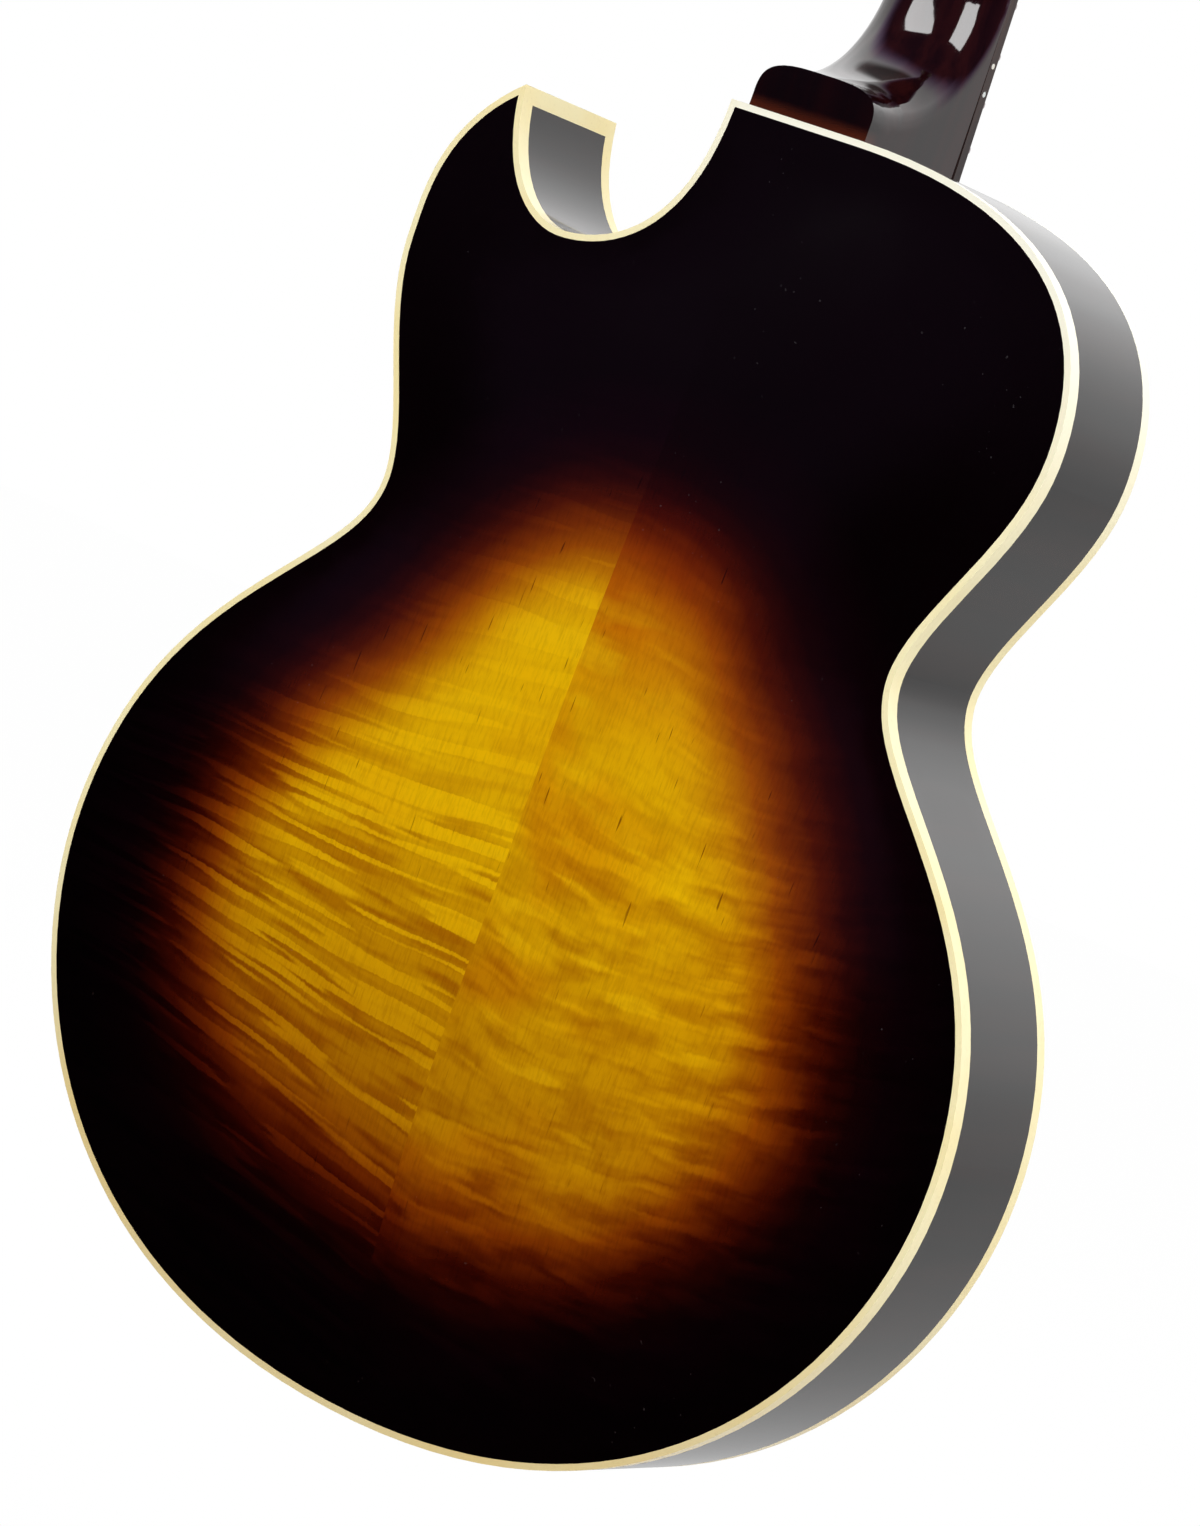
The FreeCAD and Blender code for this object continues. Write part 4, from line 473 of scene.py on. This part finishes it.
backMaple = burstMaple("backMaple", 0.0, 0.85)
topMaple = burstMaple("topMaple", 40.0, 0.40)

# stained woods, most of them under gloss lacquer; the neck's heel has a red glow near the body
neckGlow = {
    "rise": (0.5094, 0.5156), "behind": (0.014, 0.022), "share": 0.65, "tone": (92, 38, 18),
    "heelRise": (0.53, 0.56), "heelTone": (150, 120, 110),
}
woodSet = {
    "rimMaple": {"deep": (9, 4, 4), "light": (24, 9, 6), "along": (70, 5, 70),
                 "pores": (500, 18, 500), "gloss": 0.09},
    "neckWood": {"deep": (20, 4, 6), "light": (36, 9, 9), "along": (130, 130, 5),
                 "pores": (900, 900, 22), "gloss": 0.045, "glow": neckGlow},
    "headVeneer": {"deep": (8, 6, 6), "light": (16, 12, 11), "along": (150, 90, 6),
                   "pores": (800, 400, 25), "gloss": 0.06},
    "rosewood": {"deep": (36, 22, 17), "light": (68, 42, 30), "along": (260, 120, 7),
                 "pores": (1200, 600, 32), "gloss": 0.42},
    "paleWood": {"deep": (176, 138, 94), "light": (206, 172, 126), "along": (160, 160, 6),
                 "pores": (900, 900, 26), "gloss": 0.55},
}


def stainedWood(name, deep, light, along, pores, gloss, glow=None):
    finish, shader, place = startFinish(name, lacquer)
    band = marks(place, (along, (0.36, 0.68), 3.0, 0.55, 0.0))
    colour = blendTone(band, tint(*deep), tint(*light))
    colour = stain(colour, 0.45 * marks(place, (pores, (0.55, 0.72), 2.0, 0.6, 7.0)), (90, 70, 60))
    if glow:
        y, z = axes(place, "yz")
        heel = step(y, *glow["behind"])
        colour = stain(colour, heel * (1.0 - step(z, *glow["heelRise"])), glow["heelTone"])
        uneven = 0.5 + 0.9 * grain(place, (60, 60, 20))
        shine = (1.0 - step(z, *glow["rise"])) * heel * uneven * glow["share"]
        colour = paint(colour, shine, glow["tone"])
    feed(shader, colour, "Base Color")
    feed(shader, gloss + 0.03 * grain(place, (18, 18, 18), 3.0), "Roughness")
    return finish


wood = {name: stainedWood(name, **row) for name, row in woodSet.items()}

# plastics and bone, yellowed unevenly; the binding has painted shade, greyer at the tail, and painted
# light, paler at the bass shoulder
bindingLightShade = {
    "tailRise": (0.02, 0.20), "tailShadeTone": (230, 222, 212),
    "paleRise": (0.36, 0.49), "paleEdge": (0.02, 0.045), "paleShare": 0.85, "paleTone": (255, 254, 240),
}
plasticSet = {
    "creamBinding": {"fresh": (255, 244, 196), "old": (254, 234, 168), "gloss": 0.16, "scale": 14,
                     "lightShade": bindingLightShade},
    "boneWhite": {"fresh": (238, 230, 208), "old": (224, 208, 172), "gloss": 0.30, "scale": 90},
    "creamSwitch": {"fresh": (236, 220, 176), "old": (222, 200, 150), "gloss": 0.20, "scale": 120},
    "blackPlastic": {"fresh": (16, 15, 15), "old": (24, 22, 21), "gloss": 0.18, "scale": 60},
}


def agedPlastic(name, fresh, old, gloss, scale, lightShade=None):
    finish, shader, place = startFinish(name, lacquer)
    cloud = marks(place, ((scale,) * 3, (0.30, 0.75), 3.0, 0.6, 0.0))
    colour = blendTone(cloud, tint(*fresh), tint(*old))
    specks = marks(place, ((scale * 40,) * 3, (0.55, 0.8), 2.0, 0.5, 0.0))
    colour = stain(colour, specks * 0.12, (190, 170, 130))
    if lightShade:
        x, z = axes(place, "xz")
        # painted shade: the binding greyer towards the tail, where the light falls off
        colour = stain(colour, 1.0 - step(z, *lightShade["tailRise"]), lightShade["tailShadeTone"])
        # painted light: the binding paler at the bass shoulder, where the light falls strongest
        pale = step(z, *lightShade["paleRise"]) * (1.0 - step(x, *lightShade["paleEdge"]))
        colour = paint(colour, pale * lightShade["paleShare"], lightShade["paleTone"])
    feed(shader, colour, "Base Color")
    feed(shader, gloss + 0.10 * grain(place, (60, 60, 60), 3.0), "Roughness")
    return finish


plastic = {name: agedPlastic(name, **row) for name, row in plasticSet.items()}

amberSet = {
    "honey": (184, 98, 4), "deep": (92, 36, 2), "swirl": (142, 66, 3), "swirlShare": 0.35,
    "waistFrom": (0.0015, 0.006), "waistTo": (0.0085, 0.0135), "gloss": 0.10, "scuffed": 0.12,
    "specular": 0.35,
}


def amberKnob(name):
    # clear amber: honey at the top and the rim of the skirt, deep brown in the thick waist
    constants = {**lacquer, "Specular IOR Level": amberSet["specular"]}
    finish, shader, place = startFinish(name + "Amber", constants)
    joint = joints[name + "_turn"]
    off = place.node("ShaderNodeVectorMath", {"operation": "SUBTRACT"}, {0: place, 1: joint["pos_m"]})
    height = off.node("ShaderNodeVectorMath", {"operation": "DOT_PRODUCT"}, {0: off, 1: joint["axis"]}, 1)
    waist = step(height, *amberSet["waistFrom"]) * (1.0 - step(height, *amberSet["waistTo"]))
    colour = blendTone(waist, tint(*amberSet["honey"]), tint(*amberSet["deep"]))
    swirl = marks(place, ((160, 160, 160), (0.35, 0.70), 3.0, 0.6, 0.0))
    colour = paint(colour, swirl * amberSet["swirlShare"], amberSet["swirl"])
    scuff = marks(place, ((2400, 500, 2400), (0.56, 0.72), 2.0, 0.7, 0.0))
    feed(shader, colour, "Base Color")
    feed(shader, amberSet["gloss"] + amberSet["scuffed"] * scuff, "Roughness")
    return finish


# plated and bare metals with fine rubbing marks
metalSet = {
    "nickel": {"tone": (206, 200, 188), "dull": (180, 171, 154), "gloss": 0.19, "scale": 55},
    "steel": {"tone": (188, 186, 182), "dull": (150, 146, 140), "gloss": 0.22, "scale": 70},
    "brass": {"tone": (206, 164, 92), "dull": (160, 118, 60), "gloss": 0.20, "scale": 80},
    "fretMetal": {"tone": (214, 210, 200), "dull": (184, 178, 166), "gloss": 0.12, "scale": 120},
}


def rubbedMetal(name, tone, dull, gloss, scale):
    finish, shader, place = startFinish(name, {"Metallic": 0.86})
    haze = grain(place, (scale, scale, scale), 4.0, 0.6)
    colour = blendTone(step(haze, 0.40, 0.80), tint(*tone), tint(*dull))
    rub = grain(place, (scale * 30, scale * 30, scale * 3), 2.0, 0.7)
    feed(shader, colour, "Base Color")
    feed(shader, gloss + 0.06 * step(haze, 0.45, 0.85) + 0.06 * step(rub, 0.45, 0.70), "Roughness")
    return finish


metal = {name: rubbedMetal(name, **row) for name, row in metalSet.items()}

pearlSet = {"warm": (232, 226, 208), "cool": (206, 214, 214), "curl": (238, 214, 206), "gloss": 0.14}


def pearlInlay():
    finish, shader, place = startFinish("pearlInlay", {**lacquer, "Roughness": pearlSet["gloss"]})
    layer = marks(place, ((140, 140, 60), (0.35, 0.65), 3.0, 0.6, 0.0))
    curl = marks(place, ((420, 200, 160), (0.45, 0.70), 2.0, 0.7, 9.0))
    colour = blendTone(layer, tint(*pearlSet["warm"]), tint(*pearlSet["cool"]))
    feed(shader, paint(colour, curl * 0.5, pearlSet["curl"]), "Base Color")
    return finish


wireSet = {"pitch": 0.00042, "groove": (138, 120, 92), "crest": (206, 190, 158), "relief": 0.00004}


def woundWire():
    finish, shader, place = startFinish("woundWire", {"Metallic": 1.0})
    z = axes(place, "z")[0]
    turn = z.math("SINE", z * (2 * math.pi / wireSet["pitch"]))
    # painted shade: the grooves between the windings darker than their crests
    colour = blendTone(step(turn, -0.8, 0.6), tint(*wireSet["groove"]), tint(*wireSet["crest"]))
    feed(shader, colour, "Base Color")
    feed(shader, 0.24 + 0.10 * grain(place, (200, 200, 30)), "Roughness")
    relief = {"Strength": 0.4, "Distance": wireSet["relief"], "Height": turn}
    feed(shader, turn.node("ShaderNodeBump", {}, relief), "Normal")
    return finish


bridgeSet = {
    "deep": (30, 18, 14), "light": (58, 36, 26), "root": (150, 112, 60), "crest": (214, 176, 104),
    "postEdge": (0.00205, 0.00225), "footTop": 0.0131, "footSoft": 0.0003, "thread": 0.0007,
}


def bridgeWood():
    # rosewood foot, with the two threaded posts in the same piece
    finish, shader, place = startFinish("bridgeWood", lacquer)
    x, y, z = axes(place)
    hub = joints["thumbwheel_treble_turn"]["pos_m"]
    away = ((abs(x) - hub[0]) ** 2.0 + (z - hub[2]) * (z - hub[2])) ** 0.5
    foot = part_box("bridge_base")[0][1] + bridgeSet["footTop"]
    above = 1.0 - step(y, foot - bridgeSet["footSoft"], foot + bridgeSet["footSoft"])
    post = (1.0 - step(away, *bridgeSet["postEdge"])) * above
    band = marks(place, ((8, 120, 300), (0.36, 0.68), 3.0, 0.55, 0.0))
    rose = blendTone(band, tint(*bridgeSet["deep"]), tint(*bridgeSet["light"]))
    thread = y.math("SINE", y * (2 * math.pi / bridgeSet["thread"]))
    # painted shade: the thread's roots darker than its crests
    screw = blendTone(step(thread, -0.6, 0.6), tint(*bridgeSet["root"]), tint(*bridgeSet["crest"]))
    feed(shader, blendTone(post, rose, screw), "Base Color")
    feed(shader, post, "Metallic")
    feed(shader, 0.36 - 0.12 * post, "Roughness")
    return finish


guardSet = {
    "tilt": 3.0, "plyFrom": (0.36, 0.42), "plyTo": (0.58, 0.64),
    "black": (13, 12, 12), "worn": (20, 18, 18), "ply": (222, 214, 194), "gloss": 0.10, "glossMore": 0.10,
}


def guardPlastic():
    # black sheet with a pale middle ply along its cut edge
    finish, shader, place = startFinish("guardPlastic", lacquer)
    y, z = axes(place, "yz")
    tilt = math.radians(guardSet["tilt"])
    levels = [v.co.y * math.cos(tilt) - v.co.z * math.sin(tilt) for v in nodes["pickguard"].data.vertices]
    low, high = min(levels), max(levels)
    part = (y * math.cos(tilt) - z * math.sin(tilt) - low) / (high - low)
    ply = step(part, *guardSet["plyFrom"]) * (1.0 - step(part, *guardSet["plyTo"]))
    cloud = marks(place, ((40, 40, 40), (0.3, 0.7), 3.0, 0.5, 0.0))
    colour = blendTone(cloud, tint(*guardSet["black"]), tint(*guardSet["worn"]))
    feed(shader, paint(colour, ply, guardSet["ply"]), "Base Color")
    haze = grain(place, (26, 26, 26), 4.0)
    feed(shader, guardSet["gloss"] + guardSet["glossMore"] * haze, "Roughness")
    return finish


finishes = {
    "back_bass_half": backMaple, "back_treble_half": backMaple,
    "top_bass_half": topMaple, "top_treble_half": topMaple,
    "bass_side": wood["rimMaple"], "treble_side": wood["rimMaple"], "cutaway_side": wood["rimMaple"],
    "back_binding": plastic["creamBinding"], "top_binding": plastic["creamBinding"],
    "linings": wood["paleWood"], "tone_bars": wood["paleWood"],
    "neck_block": wood["paleWood"], "end_block": wood["paleWood"],
    "end_pin": plastic["blackPlastic"], "neck": wood["neckWood"], "headstock_veneer": wood["headVeneer"],
    "fingerboard": wood["rosewood"], "frets": metal["fretMetal"], "inlays": pearlInlay(),
    "nut": plastic["boneWhite"], "truss_rod": metal["steel"], "truss_rod_nut": metal["brass"],
    "truss_rod_cover": plastic["blackPlastic"],
    "bridge_base": bridgeWood(), "bridge_saddle": wood["rosewood"],
    "thumbwheel_bass": metal["brass"], "thumbwheel_treble": metal["brass"],
    "pickguard": guardPlastic(), "pickup_rings": plastic["blackPlastic"], "control_pots": metal["steel"],
    "switch_lever": plastic["creamSwitch"], "strings": metal["fretMetal"],
}
for name, node in nodes.items():
    if name.endswith("_knob"):
        finish = amberKnob(name)
    else:
        finish = finishes.get(name, metal["nickel"])  # the rest is nickel hardware
    node.data.materials.clear()
    node.data.materials.append(finish)
print("finishes on", len(nodes), "nodes")

# strings, drawn in place of the plain solids, in mm along the body, neck and head
stringSet = {
    "radii": (0.66, 0.535, 0.405, 0.305, 0.205, 0.155), "wound": 4, "sides": 10,
    "bodyLength": 509.4, "boardLevel": 52.4, "tilt": 3.0,
    "nutLength": 5.0, "nutSpacing": 7.1, "nutAction": 1.5, "boardRadius": 305.0,
    "scaleLength": 628.65, "joinFret": 14, "joinOffset": 2.3, "saddleSpacing": 10.3, "saddleAction": 4.7,
    "boardThick": 6.0, "headTilt": 17.0, "postRadius": 3.3, "wrapStart": 5.0, "wraps": 2.5, "wrapSteps": 28,
    "postFirst": 47.0, "postStep": 38.0, "postInset": 13.0,
    "headLow": 34.5, "headHigh": 41.0, "headFrom": 30.0, "headSpan": 140.0,
    "barBack": 110.0, "barFront": 124.5, "barLevel": 53.9,
    "ballRadius": 1.9, "ballHalf": 1.7, "ballSeat": 1.2, "ballSides": 18,
}
stringCount = len(stringSet["radii"])
nutAlong = stringSet["scaleLength"] * (1 - 2 ** (-stringSet["joinFret"] / 12)) - stringSet["joinOffset"]


def standUp(x, y, z):
    return Vector((x, -z, y)) / perMetre


def neckPoint(x, along, height):
    turn = math.radians(stringSet["tilt"])
    y = stringSet["bodyLength"] + along * math.cos(turn) + height * math.sin(turn)
    z = stringSet["boardLevel"] - along * math.sin(turn) + height * math.cos(turn)
    return standUp(x, y, z)


def headPoint(x, along, height):
    turn = math.radians(stringSet["headTilt"])
    forward = along * math.cos(turn) + height * math.sin(turn)
    up = height * math.cos(turn) - along * math.sin(turn)
    return neckPoint(x, nutAlong + stringSet["nutLength"] + forward, up - stringSet["boardThick"])


def stringPaths(number):
    # tail run, then playing run and coil of one string, each as a list of points
    radius = stringSet["radii"][number]
    onBass = number < stringCount / 2
    place = number - (stringCount - 1) / 2
    saddleX = place * stringSet["saddleSpacing"]
    nutX = place * stringSet["nutSpacing"]
    across = 2 * stringSet["boardRadius"]
    tail = standUp(saddleX, stringSet["barBack"], stringSet["barLevel"])
    leave = standUp(saddleX, stringSet["barFront"], stringSet["barLevel"])
    saddle = neckPoint(saddleX, nutAlong - stringSet["scaleLength"],
                       stringSet["saddleAction"] - saddleX ** 2 / across + radius)
    nutAt = neckPoint(nutX, nutAlong + stringSet["nutLength"] / 2,
                      stringSet["nutAction"] - nutX ** 2 / across + radius)
    side = -1 if onBass else 1
    fromNut = number if onBass else stringCount - 1 - number
    along = stringSet["postFirst"] + stringSet["postStep"] * fromNut
    widen = (along - stringSet["headFrom"]) / stringSet["headSpan"]
    edge = stringSet["headLow"] + (stringSet["headHigh"] - stringSet["headLow"]) * widen
    postX = side * (edge - stringSet["postInset"])
    wind = stringSet["postRadius"] + radius
    low = stringSet["wrapStart"] + radius
    ahead = along + stringSet["nutLength"]
    reach = math.hypot(postX - nutX, ahead)
    turn = math.atan2(ahead, postX - nutX) + side * math.asin(wind / reach)
    coil = []
    count = stringSet["wrapSteps"]
    for k in range(int(count * stringSet["wraps"]) + 1):
        angle = turn + side * math.pi / 2 - side * 2 * math.pi * k / count
        lift = low + 2 * radius * k / count
        coil.append(headPoint(postX + wind * math.cos(angle), along + wind * math.sin(angle), lift))
    return [tail, leave, saddle], [saddle, nutAt] + coil


def tubeTree():
    # sweeps a ring along a curve, as thick as the curve's own radius
    tree = bpy.data.node_groups.new("tube", "GeometryNodeTree")
    sockets = (("Path", "INPUT", "NodeSocketGeometry"), ("Sides", "INPUT", "NodeSocketInt"),
               ("Finish", "INPUT", "NodeSocketMaterial"), ("Tube", "OUTPUT", "NodeSocketGeometry"))
    for label, way, kind in sockets:
        tree.interface.new_socket(label, in_out=way, socket_type=kind)
    start = tree.nodes.new("NodeGroupInput")
    size = tree.nodes.new("GeometryNodeInputRadius")
    ring = tree.nodes.new("GeometryNodeCurvePrimitiveCircle")
    sweep = tree.nodes.new("GeometryNodeCurveToMesh")
    smooth = tree.nodes.new("GeometryNodeSetShadeSmooth")
    real = tree.nodes.new("GeometryNodeRealizeInstances")
    coat = tree.nodes.new("GeometryNodeSetMaterial")
    end = tree.nodes.new("NodeGroupOutput")
    ring.inputs["Radius"].default_value = 1.0
    sweep.inputs["Fill Caps"].default_value = True
    link = tree.links.new
    link(start.outputs["Sides"], ring.inputs["Resolution"])
    link(start.outputs["Path"], sweep.inputs["Curve"])
    link(ring.outputs["Curve"], sweep.inputs["Profile Curve"])
    link(size.outputs[0], sweep.inputs["Scale"])
    link(sweep.outputs[0], smooth.inputs["Geometry"])
    link(smooth.outputs[0], real.inputs["Geometry"])
    link(real.outputs[0], coat.inputs["Geometry"])
    link(start.outputs["Finish"], coat.inputs["Material"])
    link(coat.outputs[0], end.inputs["Tube"])
    return tree


def plainMesh(carrier):
    # keeps what a carrier object makes, and drops the carrier
    shape = carrier.evaluated_get(bpy.context.evaluated_depsgraph_get())
    mesh = bpy.data.meshes.new_from_object(shape)
    bpy.data.objects.remove(carrier)
    return mesh


def drawTubes(name, runs, tree, inputs):
    curve = bpy.data.curves.new(name, "CURVE")
    curve.dimensions = "3D"
    for points, radius in runs:
        spline = curve.splines.new("POLY")
        spline.points.add(len(points) - 1)
        for knot, at in zip(spline.points, points):
            knot.co = (at.x, at.y, at.z, 1.0)
            knot.radius = radius / perMetre
    carrier = bpy.data.objects.new(name + "Path", curve)
    scene.collection.objects.link(carrier)
    live = carrier.modifiers.new("nodes", "NODES")
    live.node_group = tree
    for item in tree.interface.items_tree:
        if item.in_out == "INPUT" and item.name in inputs:
            live[item.identifier] = inputs[item.name]
    piece = bpy.data.objects.new(name, plainMesh(carrier))
    scene.collection.objects.link(piece)
    return piece


def makeStrings():
    tree = tubeTree()
    tails, runs, balls = [], [], []
    across = standUp(stringSet["ballHalf"], 0, 0)
    for number, radius in enumerate(stringSet["radii"]):
        tail, run = stringPaths(number)
        tails.append((tail, radius))
        runs.append((run, radius))
        seat = tail[0] - standUp(0, stringSet["ballSeat"], 0)
        balls.append(([seat - across, seat + across], stringSet["ballRadius"]))
    saddle = neckPoint(0, nutAlong - stringSet["scaleLength"], stringSet["saddleAction"])
    nutAt = neckPoint(0, nutAlong, stringSet["nutAction"])
    leave = standUp(0, stringSet["barFront"], stringSet["barLevel"])
    thick, thin = slice(0, stringSet["wound"]), slice(stringSet["wound"], stringCount)
    for label, part, finish in (("wound", thick, woundWire()), ("plain", thin, metal["fretMetal"])):
        inputs = {"Sides": stringSet["sides"], "Finish": finish}
        behind = drawTubes(label + "Tails", tails[part], tree, inputs)
        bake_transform(behind)
        ahead = drawTubes(label + "Strings", runs[part], tree, inputs)
        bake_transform(ahead)
        for piece in (behind, ahead):
            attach(piece, "body")
            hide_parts("strings")
    ends = drawTubes("ballEnds", balls, tree, {"Sides": stringSet["ballSides"], "Finish": metal["brass"]})
    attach(ends, "body")


makeStrings()
print("strings drawn")

# dial numbers wrapped round the skirt of each knob, in mm; the profile is radius and height
knobSet = {
    "profile": ((12.5, 2.6), (11.2, 4.4), (9.7, 7.6)),
    "fontSize": 3.105, "low": 0.55, "proud": 0.05, "longest": 0.6, "last": 10, "spread": 300.0,
}


def skirtPoint(out):
    # radius and height at a distance up the skirt, and the way it faces
    left = out
    corners = knobSet["profile"]
    for (r0, h0), (r1, h1) in zip(corners, corners[1:]):
        size = math.hypot(r1 - r0, h1 - h0)
        if left <= size or (r1, h1) == corners[-1]:
            part = left / size
            facing = ((h1 - h0) / size, (r0 - r1) / size)
            return r0 + (r1 - r0) * part, h0 + (h1 - h0) * part, facing
        left -= size


def numberMesh(digits):
    text = bpy.data.curves.new("dial", "FONT")
    text.body = digits
    text.size = knobSet["fontSize"]
    text.align_x = "CENTER"
    text.resolution_u = 4
    carrier = bpy.data.objects.new("dial", text)
    scene.collection.objects.link(carrier)
    return plainMesh(carrier)


def dialNumbers(knob):
    joint = joints[knob + "_turn"]
    centre = Vector(joint["pos_m"])
    out = Vector(joint["axis"]).normalized()
    right = (Vector((1, 0, 0)) - out * out.x).normalized()
    up = out.cross(right)
    last = knobSet["last"]
    built = bmesh.new()
    for digit in range(last + 1):
        part = bmesh.new()
        part.from_mesh(numberMesh(str(digit)))
        bmesh.ops.triangulate(part, faces=part.faces[:])
        long = [edge for edge in part.edges if edge.calc_length() > knobSet["longest"]]
        bmesh.ops.subdivide_edges(part, edges=long, cuts=1)
        middle = math.radians((digit - last / 2) * knobSet["spread"] / last)
        for vert in part.verts:
            radius, height, facing = skirtPoint(knobSet["low"] + vert.co.y)
            angle = middle + vert.co.x / radius
            radius += facing[0] * knobSet["proud"]
            height += facing[1] * knobSet["proud"]
            flat = right * math.cos(angle) + up * math.sin(angle)
            vert.co = centre + (flat * radius + out * height) / perMetre
        spare = bpy.data.meshes.new("dialPart")
        part.to_mesh(spare)
        part.free()
        built.from_mesh(spare)
    mesh = bpy.data.meshes.new(knob + "_numbers")
    built.to_mesh(mesh)
    built.free()
    mesh.materials.append(plastic["boneWhite"])
    piece = bpy.data.objects.new(knob + "_numbers", mesh)
    scene.collection.objects.link(piece)
    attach(piece, knob)


for name in [node for node in nodes if node.endswith("_knob")]:
    dialNumbers(name)
print("dial numbers wrapped")
